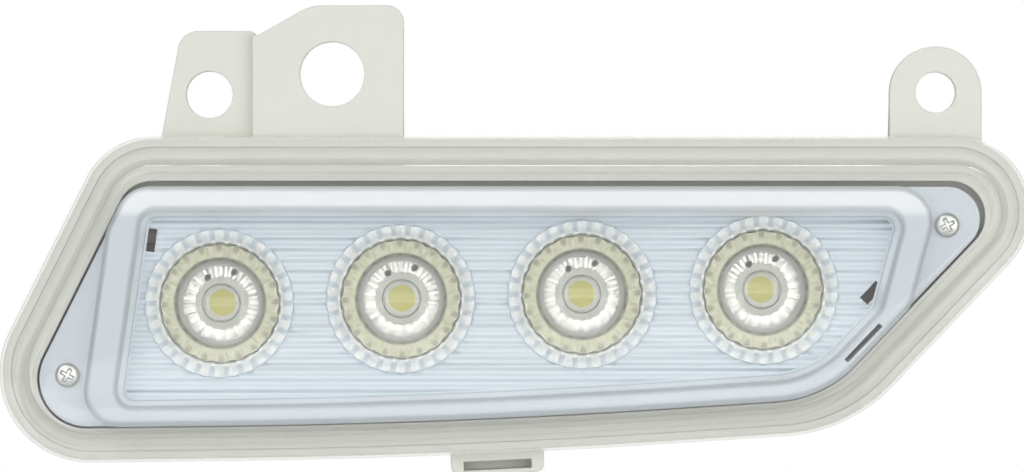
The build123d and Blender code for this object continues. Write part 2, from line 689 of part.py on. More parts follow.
def reflector_bezel():
    """Metallised moulding: wings that take the screws, a raised frame, and a fluted panel with four cups."""
    frame = slab(raised_frame(0), wing_front_y, frame_front_y)
    frame = chamfer(frame.faces().sort_by(Axis.Y)[0].edges(), FRAME_EDGE)
    bezel = slab(inner(bezel_in), channel_floor_y, wing_front_y) + frame
    bezel -= between(panel, panel_y, 0, frame_front_y, -FRAME_WALL_RUN)
    bezel -= slab(inner(bezel_in + BEZEL_SKIRT_T), channel_floor_y, panel_back_y)
    bezel -= panel_flutes()
    bezel -= slab(bezel_openings(), panel_back_y, frame_front_y)
    tooth = 1 - CUP_TOOTH / CUP_R
    mouth_radii = [CUP_MOUTH_R, CUP_MOUTH_R * tooth]
    bore = ring_of_points(mouth_radii, CUP_TEETH, 0)
    mouth = ring_of_points(mouth_radii, CUP_TEETH, CUP_DEPTH - CUP_BEVEL)
    edge = ring_of_points([CUP_R, CUP_R * tooth], CUP_TEETH, CUP_DEPTH)
    outside = ring_of_points([CUP_R + CUP_WALL], CUP_SIDES, 0)
    outside_top = ring_of_points([CUP_R + CUP_WALL], CUP_SIDES, CUP_DEPTH - BEZEL_T / 2)
    cup_places = [on_row(cup_back_y, along).location for along in led_offsets]
    bezel += [place * faceted(outside, outside_top) for place in cup_places]
    bezel -= [place * faceted(mouth, edge) for place in cup_places]
    bezel -= [place * faceted(bore, mouth) for place in cup_places]
    for place in bezel_screw_places():
        bezel -= slab(place * small_round(SCREW_R + SCREW_HOLE_GAP), panel_back_y, wing_front_y)
    return bezel


def collimator():
    """Clear optic on the Z axis: scalloped wall, stepped well with a centre lens, cavity and three legs."""
    shoulder = COLLIMATOR_H - COLLIMATOR_RIM_T
    scallop = 1 - COLLIMATOR_FLUTE / COLLIMATOR_R
    wide = [COLLIMATOR_R, COLLIMATOR_R * scallop]
    foot = [COLLIMATOR_FOOT_R, COLLIMATOR_FOOT_R * scallop]
    count = COLLIMATOR_FLUTES
    optic = faceted(ring_of_points(foot, count, COLLIMATOR_FOOT_H), ring_of_points(wide, count, shoulder))
    optic += faceted(ring_of_points(wide, count, shoulder), ring_of_points(wide, count, COLLIMATOR_H))
    well_floor = COLLIMATOR_H - WELL_DEPTH
    well_low = ring_of_points([WELL_FLOOR_R], count, well_floor)
    optic -= faceted(well_low, ring_of_points([WELL_R], count, COLLIMATOR_H))
    lens_low = ring_of_points([CENTRE_LENS_R], SMALL_SIDES, well_floor)
    optic += faceted(lens_low, ring_of_points([CENTRE_LENS_R / 2], SMALL_SIDES, well_floor + CENTRE_LENS_H))
    cavity = extrude(small_round(LED_CAVITY_R), LED_CAVITY_H - COLLIMATOR_FOOT_H)
    optic -= Pos(0, 0, COLLIMATOR_FOOT_H) * cavity
    wall_slope = (COLLIMATOR_R - COLLIMATOR_FOOT_R) / (shoulder - COLLIMATOR_FOOT_H)
    leg_h = COLLIMATOR_FOOT_H + (LEG_R + LEG_W / 2 - COLLIMATOR_FOOT_R) / wall_slope
    leg = Pos(LEG_R, 0, 0) * Box(LEG_W, LEG_W, leg_h, align=UPRIGHT)
    return optic + [Rot(0, 0, 90 + 360 * i / LEG_COUNT) * leg for i in range(LEG_COUNT)]


def led_package():
    """White LED package on the Z axis with a recess for its yellow fill."""
    return Box(LED_W, LED_W, LED_T, align=UPRIGHT) - led_phosphor()


def led_phosphor():
    """Yellow fill of the LED's recess, on the Z axis."""
    return Pos(0, 0, LED_T - PHOSPHOR_T) * extrude(small_round(PHOSPHOR_R), PHOSPHOR_T)


def led_board():
    """Metal-core board, cut to the lean of the tray's left wall."""
    middle = (board_left + board_right) / 2
    board = row_slab(Rectangle(board_right - board_left, BOARD_H), board_back_y, board_front_y, middle)
    return board & slab(inner(tray_in + floor_draft + BOARD_CLEARANCE), board_back_y, board_front_y)


def pedestal_face():
    """Face of the heat sink that carries the board, clear of the rear window."""
    return Rectangle(window_l - 2 * WINDOW_GAP, WINDOW_H - 2 * WINDOW_GAP)


def thermal_pad():
    """Adhesive pad that bonds the board to the heat sink."""
    return row_slab(pedestal_face(), pedestal_y, board_back_y)


def heat_sink():
    """Die casting: pedestal through the window, flange on the gasket, upright drafted fins behind."""
    sink = row_slab(pedestal_face(), sink_seat_y, pedestal_y)
    sink += row_slab(Rectangle(flange_l, flange_h), fin_root_y, sink_seat_y)
    thinning = 2 * FIN_H * tan(radians(FIN_DRAFT))
    fin_count = int((window_l - FIN_T) / FIN_PITCH) + 1
    for i in range(fin_count):
        along = (i - (fin_count - 1) / 2) * FIN_PITCH
        tip = Rectangle(FIN_T - thinning, flange_h - thinning)
        sink += extrude(on_row(fin_root_y + FIN_H, along) * tip, FIN_H, taper=-FIN_DRAFT)
    for along in sink_screw_places():
        sink -= row_slab(small_round(SCREW_R + SCREW_HOLE_GAP), fin_root_y, sink_seat_y, along)
    return sink


def heat_sink_gasket():
    """Die-cut gasket under the heat sink's flange."""
    sheet = Rectangle(flange_l, flange_h) - Rectangle(window_l, WINDOW_H)
    for along in sink_screw_places():
        sheet -= Pos(along, 0) * small_round(SCREW_R + SCREW_HOLE_GAP)
    return row_slab(sheet, sink_seat_y, floor_back_y)


def heat_sink_screws():
    """Screws driven from behind at the two ends of the flange."""
    one = screw(SINK_FLANGE_T + GASKET_T + FLOOR_T + SINK_SCREW_BITE)
    screws = []
    for along in sink_screw_places():
        front = on_row(fin_root_y, along)
        rearward = Plane(origin=front.origin, x_dir=front.x_dir, z_dir=(0, 1, 0))
        screws.append(rearward.location * one)
    return Compound(children=screws)


def bezel_screws():
    """Screws through the bezel's wings into the housing's bosses."""
    one = screw(WING_T + BEZEL_SCREW_BITE)
    return Compound(children=[facing(wing_front_y) * place * one for place in bezel_screw_places()])


def on_board(part, along, across):
    """A part made on the Z axis, stood on the board's front at an offset from the row's middle."""
    return on_row(board_front_y, along, across).location * part


def driver_chip():
    """Driver circuit with a row of bent legs on each side."""
    chip = Pos(0, 0, CHIP_LEG_W / 2) * Box(CHIP_W, CHIP_L, CHIP_T, align=UPRIGHT)
    pitch = CHIP_L / CHIP_LEGS
    for i in range(CHIP_LEGS):
        y = (i - (CHIP_LEGS - 1) / 2) * pitch
        chip += Pos(0, y, 0) * Box(CHIP_W + 2 * CHIP_LEG_REACH, CHIP_LEG_W, CHIP_LEG_W, align=UPRIGHT)
    return on_board(chip, led_offsets[0] - CHIP_BEFORE_LED, BOARD_H / 2 - CHIP_BELOW_TOP)


def driver_inductor():
    """Shielded inductor with the end of its drum showing on top."""
    block = Box(INDUCTOR_W, INDUCTOR_W, INDUCTOR_H, align=UPRIGHT)
    block = chamfer(block.edges().filter_by(Axis.Z), INDUCTOR_W / 5)
    drum = Pos(0, 0, INDUCTOR_H) * extrude(small_round(INDUCTOR_CAP_R), INDUCTOR_CAP_H)
    across = INDUCTOR_ABOVE_BOTTOM - BOARD_H / 2
    return on_board(block + drum, led_offsets[0] - INDUCTOR_BEFORE_LED, across)


def driver_diode():
    """Moulded diode with a tab at each end."""
    body = extrude(Rectangle(DIODE_L, DIODE_W), DIODE_H, taper=DIODE_DRAFT)
    tabs = Box(DIODE_L + 2 * DIODE_TAB_L, DIODE_TAB_W, DIODE_H / 3, align=UPRIGHT)
    return on_board(body + tabs, led_offsets[0] - DIODE_BEFORE_LED, BOARD_H / 2 - DIODE_BELOW_TOP)


def capped_chip(length, width, height):
    """Chip capacitor or resistor on the Z axis, with slightly proud metal ends."""
    body = Pos(0, 0, CHIP_CAP_STEP) * Box(length, width, height, align=UPRIGHT)
    grown = 2 * CHIP_CAP_STEP
    for side in (-1, 1):
        end = Box(CHIP_CAP_L, width + grown, height + grown, align=UPRIGHT)
        body += Pos(side * (length + grown - CHIP_CAP_L) / 2, 0, 0) * end
    return body


def driver_capacitors():
    """Two ceramic capacitors side by side."""
    one = Rot(0, 0, 90) * capped_chip(CAPACITOR_L, CAPACITOR_W, CAPACITOR_H)
    middle = led_offsets[0] - CAPACITOR_BEFORE_LED
    half = CAPACITOR_PITCH / 2
    across = BOARD_H / 2 - CAPACITOR_BELOW_TOP
    return Compound(children=[on_board(one, along, across) for along in (middle - half, middle + half)])


def driver_resistors():
    """Sense resistors between the LEDs."""
    one = capped_chip(RESISTOR_L, RESISTOR_W, RESISTOR_H)
    return Compound(children=[on_board(one, along, RESISTOR_ACROSS) for along in gap_offsets])


def blade_line():
    """Middle line of a terminal seen from above: along the socket, then over to the board."""
    strip_y = board_front_y - BLADE_T / 2
    pad_x = on_row(board_front_y, board_right).origin.X - BLADE_ON_BOARD
    tip = (socket_at.X, socket_mouth_y - BLADE_SHORT)
    return FilletPolyline(tip, (socket_at.X, strip_y), (pad_x, strip_y), radius=BLADE_BEND_R)


def terminal(side):
    """Bent blade above or below the socket's middle."""
    z = socket_at.Y + side * BLADE_PITCH / 2
    return extrude(Plane.XY.offset(z) * trace(blade_line(), BLADE_T), BLADE_W / 2, both=True)


def connector_body():
    """Black socket with a flange on the rear wall, a hooked spigot through it and slots for the blades."""
    place = Pos(socket_at)
    flange = slab(place * socket_outline(SOCKET_WALL + CONNECTOR_LAP), socket_floor_y, connector_seat_y)
    barrel = socket_outline(SOCKET_WALL) - socket_outline(0)
    spigot = socket_outline(SOCKET_WALL - SPIGOT_STEP)
    spigot_front_y = floor_front_y - SPIGOT_PROUD
    body = flange + slab(place * barrel, socket_mouth_y, socket_floor_y)
    body += slab(place * spigot, connector_seat_y, spigot_front_y)
    spigot_top = SOCKET_H / 2 + SOCKET_WALL - SPIGOT_STEP
    hook_y = floor_front_y - SPIGOT_FIT
    for side in (-1, 1):
        root = socket_at.Y + side * (spigot_top - HOOK_REACH)
        tip = socket_at.Y + side * (spigot_top + HOOK_REACH)
        wedge = make_face(Polyline((hook_y, root), (hook_y, tip), (spigot_front_y, root), close=True))
        body += extrude(Plane.YZ.offset(socket_at.X) * wedge, HOOK_W / 2, both=True)
    barrel_top = socket_at.Y + SOCKET_H / 2 + SOCKET_WALL
    ramp_start = (socket_mouth_y, barrel_top - SOCKET_WALL / 2)
    ramp_peak = (socket_mouth_y - 2 * LATCH_H, barrel_top + LATCH_H)
    ramp_end = (socket_mouth_y - 2 * LATCH_H, barrel_top - SOCKET_WALL / 2)
    ramp = make_face(Polyline(ramp_start, ramp_peak, ramp_end, close=True))
    body += extrude(Plane.YZ.offset(socket_at.X) * ramp, LATCH_W / 2, both=True)
    for side in (-1, 1):
        slot_at = place * Pos(0, side * BLADE_PITCH / 2)
        slot = slot_at * Rectangle(BLADE_T + 2 * BLADE_FIT, BLADE_W + 2 * BLADE_FIT)
        body -= slab(slot, socket_floor_y, spigot_front_y)
    return body


def connector_seal():
    """Flat seal under the connector's flange."""
    ring = socket_outline(SOCKET_WALL + CONNECTOR_LAP)
    ring -= socket_outline(SOCKET_WALL - SPIGOT_STEP + SPIGOT_FIT)
    return slab(Pos(socket_at) * ring, connector_seat_y, floor_back_y)


def vent_cap():
    """Rubber breather cap on the housing's stub, with grooves that let air past the stub."""
    place = Pos(vent_at)
    tip_y = floor_back_y + VENT_STUB_H
    bore_r = VENT_STUB_R + VENT_FIT
    outside = place * small_round(bore_r + VENT_CAP_WALL)
    cap = slab(outside, tip_y + VENT_CAP_TOP, floor_back_y + VENT_STANDS_OFF)
    cap -= slab(place * small_round(bore_r), tip_y, floor_back_y)
    groove_l = 2 * (bore_r + VENT_SLOT_DEEP)
    cross = Rectangle(groove_l, VENT_SLOT_W) + Rectangle(VENT_SLOT_W, groove_l)
    return cap - slab(place * cross, tip_y + VENT_CAP_TOP / 3, floor_back_y)


parts = {
    "rear_housing": rear_housing(),
    "cover_lens": cover_lens(),
    "seal_bead": seal_bead(),
    "reflector_bezel": reflector_bezel(),
    "led_board": led_board(),
    "thermal_pad": thermal_pad(),
    "heat_sink": heat_sink(),
    "heat_sink_gasket": heat_sink_gasket(),
    "heat_sink_screws": heat_sink_screws(),
    "bezel_screws": bezel_screws(),
    "driver_chip": driver_chip(),
    "driver_inductor": driver_inductor(),
    "driver_diode": driver_diode(),
    "driver_capacitors": driver_capacitors(),
    "driver_resistors": driver_resistors(),
    "connector_body": connector_body(),
    "connector_seal": connector_seal(),
    "positive_terminal": terminal(1),
    "negative_terminal": terminal(-1),
    "vent_cap": vent_cap(),
}
for number, along in enumerate(led_offsets, 1):
    place = on_row(board_front_y, along).location
    parts[f"collimator_{number}"] = place * collimator()
    parts[f"led_package_{number}"] = place * led_package()
    parts[f"led_phosphor_{number}"] = place * led_phosphor()

os.makedirs("parts", exist_ok=True)
for name, shape in parts.items():
    export_step(shape, f"parts/{name}.step")
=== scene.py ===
import math

import bmesh
import bpy
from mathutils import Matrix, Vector, geometry


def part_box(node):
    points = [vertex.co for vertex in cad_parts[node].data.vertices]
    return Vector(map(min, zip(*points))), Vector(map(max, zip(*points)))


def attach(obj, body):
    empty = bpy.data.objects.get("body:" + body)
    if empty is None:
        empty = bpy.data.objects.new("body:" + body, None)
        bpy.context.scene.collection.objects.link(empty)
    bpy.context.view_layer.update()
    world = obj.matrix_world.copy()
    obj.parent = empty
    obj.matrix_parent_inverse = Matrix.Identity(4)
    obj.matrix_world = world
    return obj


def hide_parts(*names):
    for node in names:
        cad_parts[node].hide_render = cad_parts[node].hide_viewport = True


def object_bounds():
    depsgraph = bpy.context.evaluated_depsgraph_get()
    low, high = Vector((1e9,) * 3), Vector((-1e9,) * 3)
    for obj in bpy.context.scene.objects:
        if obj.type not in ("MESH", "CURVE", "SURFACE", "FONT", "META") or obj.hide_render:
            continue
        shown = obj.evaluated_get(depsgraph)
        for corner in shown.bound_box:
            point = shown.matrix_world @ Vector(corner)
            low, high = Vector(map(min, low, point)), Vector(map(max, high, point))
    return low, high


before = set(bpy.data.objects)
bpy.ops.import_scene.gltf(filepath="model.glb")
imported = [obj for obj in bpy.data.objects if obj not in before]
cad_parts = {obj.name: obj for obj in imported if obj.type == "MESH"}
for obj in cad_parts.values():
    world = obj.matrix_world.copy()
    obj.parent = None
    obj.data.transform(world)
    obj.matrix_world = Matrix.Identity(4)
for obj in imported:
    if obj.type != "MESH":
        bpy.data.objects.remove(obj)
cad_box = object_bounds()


# Rear housing: one grey-beige moulding in filled polypropylene, with ears, seal channel and tray.
# It is moulded in a spark-eroded tool, which leaves a fine satin grain and slightly rounded edges.
class Value:
    """A shader socket that takes part in plain arithmetic."""

    def __init__(self, finish, socket):
        self.finish = finish
        self.socket = socket

    def math(self, operation, first, second):
        return self.finish.node("Math", {"operation": operation}, {0: first, 1: second})

    def __add__(self, other):
        return self.math("ADD", self, other)

    def __sub__(self, other):
        return self.math("SUBTRACT", self, other)

    def __rsub__(self, other):
        return self.math("SUBTRACT", other, self)

    def __mul__(self, other):
        return self.math("MULTIPLY", self, other)

    def __pow__(self, other):
        return self.math("POWER", self, other)

    __radd__ = __add__
    __rmul__ = __mul__


class Finish:
    """A material, or the light of the studio, under construction: its nodes are made one by one."""

    def __init__(self, name, world=False):
        self.made = (bpy.data.worlds if world else bpy.data.materials).new(name)
        self.made.use_nodes = True
        self.tree = self.made.node_tree
        self.tree.nodes.clear()

    def node(self, kind, settings=None, sockets=None, output=0):
        """Adds a node with its settings and its sockets' values or links, and gives back one output."""
        added = self.tree.nodes.new("ShaderNode" + kind)
        for name, value in (settings or {}).items():
            setattr(added, name, value)
        for key, value in (sockets or {}).items():
            if isinstance(value, Value):
                self.tree.links.new(value.socket, added.inputs[key])
            else:
                added.inputs[key].default_value = value
        return Value(self, added.outputs[output])

    def place(self):
        """Position on the object, in metres."""
        return self.node("TexCoord", output="Object")

    def along(self, axis):
        """Position on the object along one axis, in metres."""
        return self.node("SeparateXYZ", {}, {"Vector": self.place()}, output=axis)

    def noise(self, size, detail=2.0):
        """Even noise whose lumps are about so many metres wide."""
        return self.node("TexNoise", {}, {"Vector": self.place(), "Scale": 1 / size, "Detail": detail})

    def blend(self, share, low, high):
        """Colour between two others. A Mix node's colour sockets go by number, as their names repeat."""
        return self.node("Mix", {"data_type": "RGBA"}, {0: share, 6: low, 7: high}, output=2)

    def bumped(self, height, depth, rounding=None):
        """Normal of a surface with relief of that depth, its edges rounded if asked."""
        sockets = {"Height": height, "Distance": depth, "Strength": 1.0}
        if rounding:
            sockets["Normal"] = self.node("Bevel", {"samples": 6}, {"Radius": rounding})
        return self.node("Bump", {}, sockets)

    def show(self, shader, output="OutputMaterial"):
        """Ends the nodes in a shader."""
        last = self.tree.nodes.new("ShaderNode" + output)
        self.tree.links.new(shader.socket, last.inputs["Surface"])
        return self.made

    def plain(self, sockets):
        """Ends the nodes in one Principled shader."""
        return self.show(self.node("BsdfPrincipled", {}, sockets))


def dress(node, material):
    """Gives a CAD node its finish."""
    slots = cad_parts[node].data.materials
    slots.clear()
    slots.append(material)


housing = Finish("housing_plastic")
housing_cloud = housing.noise(0.03, 3.0)
housing_grain = housing.noise(0.0004)
housing_plastic = housing.plain(
    {
        "Base Color": housing.blend(housing_cloud, (0.65, 0.65, 0.60, 1), (0.71, 0.71, 0.655, 1)),
        "Roughness": 0.42 + housing_grain * 0.16,
        "Normal": housing.bumped(housing_grain, 0.00002, 0.0005),
        "Subsurface Weight": 0.12,
        "Subsurface Radius": (0.004, 0.004, 0.0035),
    }
)
dress("rear_housing", housing_plastic)


# Seal: a pale silicone ring, laid in the housing's channel before the cover's tongue is pressed on to it.
# It is soft and slightly glossy where it has been squeezed.
seal = Finish("seal_rubber")
seal_ripple = seal.noise(0.012, 2.0)
seal_rubber = seal.plain(
    {
        "Base Color": seal.blend(seal_ripple, (0.69, 0.69, 0.65, 1), (0.74, 0.74, 0.70, 1)),
        "Roughness": 0.35 + seal_ripple * 0.2,
        "Normal": seal.bumped(seal_ripple, 0.00003),
    }
)
dress("seal_bead", seal_rubber)


# Heat sink: an aluminium die casting, bare, with a slightly mottled skin and rounded edges on its fins.
# Its flange sits on a die-cut rubber gasket, and two plated screws hold it to the housing.
casting = Finish("cast_aluminium")
casting_mottle = casting.noise(0.006, 5.0)
casting_grain = casting.noise(0.0005, 3.0)
cast_aluminium = casting.plain(
    {
        "Base Color": casting.blend(casting_mottle, (0.42, 0.43, 0.44, 1), (0.58, 0.59, 0.60, 1)),
        "Metallic": 1.0,
        "Roughness": 0.38 + casting_grain * 0.25,
        "Normal": casting.bumped(casting_grain, 0.00004, 0.0003),
    }
)
dress("heat_sink", cast_aluminium)


def soft_rubber(name, colour):
    """Black or grey rubber with a dusty, slightly uneven face."""
    rubber = Finish(name)
    dust = rubber.noise(0.002, 4.0)
    dusty = tuple(min(1.0, c * 1.6 + 0.02) for c in colour)
    return rubber.plain(
        {
            "Base Color": rubber.blend(dust, (*colour, 1), (*dusty, 1)),
            "Roughness": 0.6 + dust * 0.25,
            "Normal": rubber.bumped(dust, 0.00003, 0.0003),
        }
    )


gasket_rubber = soft_rubber("gasket_rubber", (0.02, 0.02, 0.021))
dress("heat_sink_gasket", gasket_rubber)

plated = Finish("screw_steel")
plated_streak = plated.noise(0.0008, 4.0)
plated_steel = plated.plain(
    {
        "Base Color": plated.blend(plated_streak, (0.50, 0.50, 0.49, 1), (0.68, 0.68, 0.66, 1)),
        "Metallic": 1.0,
        "Roughness": 0.24 + plated_streak * 0.2,
        "Normal": plated.bumped(plated_streak, 0.00001, 0.0002),
    }
)
dress("heat_sink_screws", plated_steel)


# Board and driver: a metal-core board under white solder resist, bonded to the heat sink by a grey pad.
# The driver parts are soldered at its left end and between the LEDs.
resist = Finish("board_white")
resist_cloud = resist.noise(0.004, 3.0)
board_white = resist.plain(
    {
        "Base Color": resist.blend(resist_cloud, (0.80, 0.81, 0.79, 1), (0.87, 0.88, 0.86, 1)),
        "Roughness": 0.3 + resist_cloud * 0.15,
        "Normal": resist.bumped(resist_cloud, 0.00002),
    }
)
dress("led_board", board_white)
dress("thermal_pad", soft_rubber("pad_grey", (0.22, 0.24, 0.27)))


def moulded_resin(name, colour, gloss):
    """Hard moulded plastic with a faint grain."""
    resin = Finish(name)
    grain = resin.noise(0.0003, 3.0)
    paler = tuple(c * 1.25 + 0.004 for c in colour)
    return resin.plain(
        {
            "Base Color": resin.blend(grain, (*colour, 1), (*paler, 1)),
            "Roughness": gloss + grain * 0.15,
            "Normal": resin.bumped(grain, 0.00002, 0.0003),
        }
    )


chip_black = moulded_resin("chip_black", (0.012, 0.012, 0.013), 0.4)
for node in ("driver_chip", "driver_diode", "driver_resistors"):
    dress(node, chip_black)
dress("driver_inductor", moulded_resin("inductor_grey", (0.04, 0.04, 0.042), 0.45))
dress("driver_capacitors", moulded_resin("capacitor_tan", (0.30, 0.19, 0.10), 0.3))


# LEDs: white resin packages, soldered to the board in a row, with a fill of yellow phosphor in silicone.
# The phosphor is grainy and a little uneven, as it is dispensed as a drop.
LED_COUNT = 4

led_resin = moulded_resin("led_white", (0.78, 0.78, 0.74), 0.35)
phosphor = Finish("phosphor_yellow")
phosphor_grain = phosphor.noise(0.00025, 4.0)
phosphor_fill = phosphor.plain(
    {
        "Base Color": phosphor.blend(phosphor_grain, (0.64, 0.57, 0.01, 1), (0.74, 0.69, 0.03, 1)),
        "Roughness": 0.4,
        "Normal": phosphor.bumped(phosphor_grain, 0.00003),
    }
)
for number in range(1, LED_COUNT + 1):
    dress(f"led_package_{number}", led_resin)
    dress(f"led_phosphor_{number}", phosphor_fill)


# Collimators: clear acrylic optics, one over each LED, with a scalloped wall that turns the light forward.
# They are injection moulded, stand on the board by three legs, and show a deep well inside a ring of beads.
MM = 0.001
SAME_SPOT = 1e-7


def solid(name, points, faces, material, smooth_below=40.0):
    """Mesh object in millimetre points, shaded smooth across edges flatter than the angle."""
    mesh = bpy.data.meshes.new(name)
    mesh.from_pydata([(x * MM, y * MM, z * MM) for x, y, z in points], [], faces)
    cleaned = bmesh.new()
    cleaned.from_mesh(mesh)
    bmesh.ops.remove_doubles(cleaned, verts=cleaned.verts, dist=SAME_SPOT)
    bmesh.ops.recalc_face_normals(cleaned, faces=cleaned.faces)
    for edge in cleaned.edges:
        edge.smooth = edge.is_manifold and edge.calc_face_angle(0.0) < math.radians(smooth_below)
    for face in cleaned.faces:
        face.smooth = True
    cleaned.to_mesh(mesh)
    cleaned.free()
    made = bpy.data.objects.new(name, mesh)
    made.data.materials.append(material)
    bpy.context.scene.collection.objects.link(made)
    return made


def strips(rings, closed=False):
    """Points and faces of a skin over rings with as many points each."""
    count = len(rings[0])
    points = [point for ring in rings for point in ring]
    faces = []
    last = len(rings) if closed else len(rings) - 1
    for i in range(last):
        low = i * count
        high = ((i + 1) % len(rings)) * count
        for j in range(count):
            k = (j + 1) % count
            faces.append((low + j, low + k, high + k, high + j))
    return points, faces


def capped(points, faces, count):
    """The same skin with its first and last ring of so many points closed."""
    ends = [tuple(range(count)), tuple(range(len(points) - count, len(points)))]
    return points, faces + ends


def rounded(start, corner, end, radius, steps=5):
    """Points of a rounded corner between two straight runs of a profile."""
    start, corner, end = Vector(start), Vector(corner), Vector(end)
    back = (start - corner).normalized()
    ahead = (end - corner).normalized()
    half = back.angle(ahead) / 2
    run = radius / math.tan(half)
    centre = corner + (back + ahead).normalized() * (radius / math.sin(half))
    first = corner + back * run - centre
    last = corner + ahead * run - centre
    made = []
    for i in range(steps + 1):
        made.append(centre + first.lerp(last, i / steps).normalized() * radius)
    return made


def ramp(finish, value, start, end, curve="SMOOTHSTEP"):
    """0 up to the start and 1 from the end, both in millimetres."""
    sockets = {"Value": value, "From Min": start * MM, "From Max": end * MM}
    return finish.node("MapRange", {"interpolation_type": curve}, sockets)


OPTIC_R = 10.75
OPTIC_FOOT_R = 4.8
OPTIC_FRONT_Y = 0.5
OPTIC_SHOULDER_Y = 1.7
OPTIC_FOOT_Y = 9.7
OPTIC_FLUTES = 20
OPTIC_FLUTE = 0.55
OPTIC_BULGE = 0.9
RIM_FLUTE = 0.5
RIM_ROLL = 0.3
BEAD_H = 0.5
BEAD_POWER = 0.7
WELL_R = 8.25
WELL_EDGE_ROLL = 0.25
WELL_FLOOR_R = 7.1
WELL_FLOOR_Y = 4.0
WELL_FLOOR_ROLL = 0.5
CENTRE_LENS_R = 3.5
CENTRE_LENS_H = 0.6
LED_CAVITY_R = 3.4
LED_CAVITY_Y = 6.5
LED_CAVITY_CHAMFER = 0.3
LED_CAVITY_SAG = 0.1
LEG_COUNT = 3
LEG_R = 7.6
LEG_W = 1.8
LEG_TOP_Y = 6.1
BOARD_Y = 11.5
ON_FRONT = 0.01
MIDDLE_R = 0.02
TURN_STEPS = 160
ROUND_STEPS = 8
WALL_STEPS = 12

led_places = []
for number in range(1, LED_COUNT + 1):
    low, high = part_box(f"collimator_{number}")
    centre = (low + high) / 2 / MM
    led_places.append((centre.x, centre.z))
row_lean = math.atan2(led_places[-1][1] - led_places[0][1], led_places[-1][0] - led_places[0][0])


def scallop(turn):
    """Share of the flute's depth at a turn round the optic."""
    return 0.5 - 0.5 * math.cos(OPTIC_FLUTES * turn)


def bead(turn, r):
    """Height of the small domes on the optic's front land."""
    across = min(max((r - WELL_R) / (OPTIC_R - WELL_R), 0.0), 1.0)
    return BEAD_H * max(0.0, -math.cos(OPTIC_FLUTES * turn)) ** BEAD_POWER * math.sin(math.pi * across)


def optic_profile():
    """Radius, depth and share of fluting from the well's middle over the rim into the LED cavity."""
    profile = [(MIDDLE_R, WELL_FLOOR_Y - CENTRE_LENS_H, 0)]
    for i in range(1, ROUND_STEPS + 1):
        share = i / ROUND_STEPS
        profile.append((CENTRE_LENS_R * share, WELL_FLOOR_Y - CENTRE_LENS_H * (1 - share ** 2), 0))
    lens_edge = (CENTRE_LENS_R, WELL_FLOOR_Y)
    floor_edge = (WELL_FLOOR_R, WELL_FLOOR_Y)
    well_edge = (WELL_R, OPTIC_FRONT_Y)
    front_edge = (OPTIC_R, OPTIC_FRONT_Y)
    shoulder = (OPTIC_R, OPTIC_SHOULDER_Y)
    profile += [(r, y, 0) for r, y in rounded(lens_edge, floor_edge, well_edge, WELL_FLOOR_ROLL)]
    profile += [(r, y, 0) for r, y in rounded(floor_edge, well_edge, front_edge, WELL_EDGE_ROLL)]
    for i in range(1, ROUND_STEPS):
        share = i / ROUND_STEPS
        r = WELL_R + RIM_ROLL + (OPTIC_R - WELL_R - 2 * RIM_ROLL) * share
        profile.append((r, OPTIC_FRONT_Y, RIM_FLUTE * share))
    profile += [(r, y, RIM_FLUTE) for r, y in rounded(well_edge, front_edge, shoulder, RIM_ROLL)]
    profile.append((*shoulder, RIM_FLUTE))
    for i in range(1, WALL_STEPS + 1):
        share = i / WALL_STEPS
        r = OPTIC_R + (OPTIC_FOOT_R - OPTIC_R) * share + OPTIC_BULGE * math.sin(math.pi * share)
        profile.append((r, OPTIC_SHOULDER_Y + (OPTIC_FOOT_Y - OPTIC_SHOULDER_Y) * share, 1))
    profile += [(LED_CAVITY_R, OPTIC_FOOT_Y, 0), (LED_CAVITY_R, LED_CAVITY_Y + LED_CAVITY_CHAMFER, 0)]
    profile.append((LED_CAVITY_R - LED_CAVITY_CHAMFER, LED_CAVITY_Y, 0))
    profile.append((MIDDLE_R, LED_CAVITY_Y + LED_CAVITY_SAG, 0))
    return profile


def optic_ring(r, y, fluted):
    """Points round the optic at a place on its profile."""
    ring = []
    for j in range(TURN_STEPS):
        turn = 2 * math.pi * j / TURN_STEPS
        reach = r * (1 - fluted * scallop(turn) * OPTIC_FLUTE / OPTIC_R)
        raised = bead(turn, r) if y < OPTIC_FRONT_Y + ON_FRONT else 0.0
        ring.append((reach * math.cos(turn + row_lean), y - raised, reach * math.sin(turn + row_lean)))
    return ring


def leg(turn):
    """Points and faces of a square leg at a turn round the optic."""
    out = Vector((math.cos(turn), math.sin(turn)))
    side = Vector((-out.y, out.x)) * (LEG_W / 2)
    points = []
    for y in (BOARD_Y, LEG_TOP_Y):
        for reach, sign in ((-1, -1), (1, -1), (1, 1), (-1, 1)):
            spot = out * (LEG_R + reach * LEG_W / 2) + side * sign
            points.append((spot.x, y, spot.y))
    return points, [(0, 1, 2, 3), (4, 5, 6, 7), (0, 1, 5, 4), (1, 2, 6, 5), (2, 3, 7, 6), (3, 0, 4, 7)]


def joined(*skins):
    """Several skins as one list of points and one of faces."""
    points, faces = [], []
    for skin_points, skin_faces in skins:
        start = len(points)
        points += skin_points
        faces += [tuple(start + i for i in face) for face in skin_faces]
    return points, faces


# Two small dark spots are painted on each optic's face: painted dark reflections.
PAINTED_SPOT_UP = 5.1
PAINTED_SPOT_ASIDE = 2.4
PAINTED_SPOT_LEAN = 0.2
PAINTED_SPOT_R_IN = 0.5
PAINTED_SPOT_R_OUT = 0.8

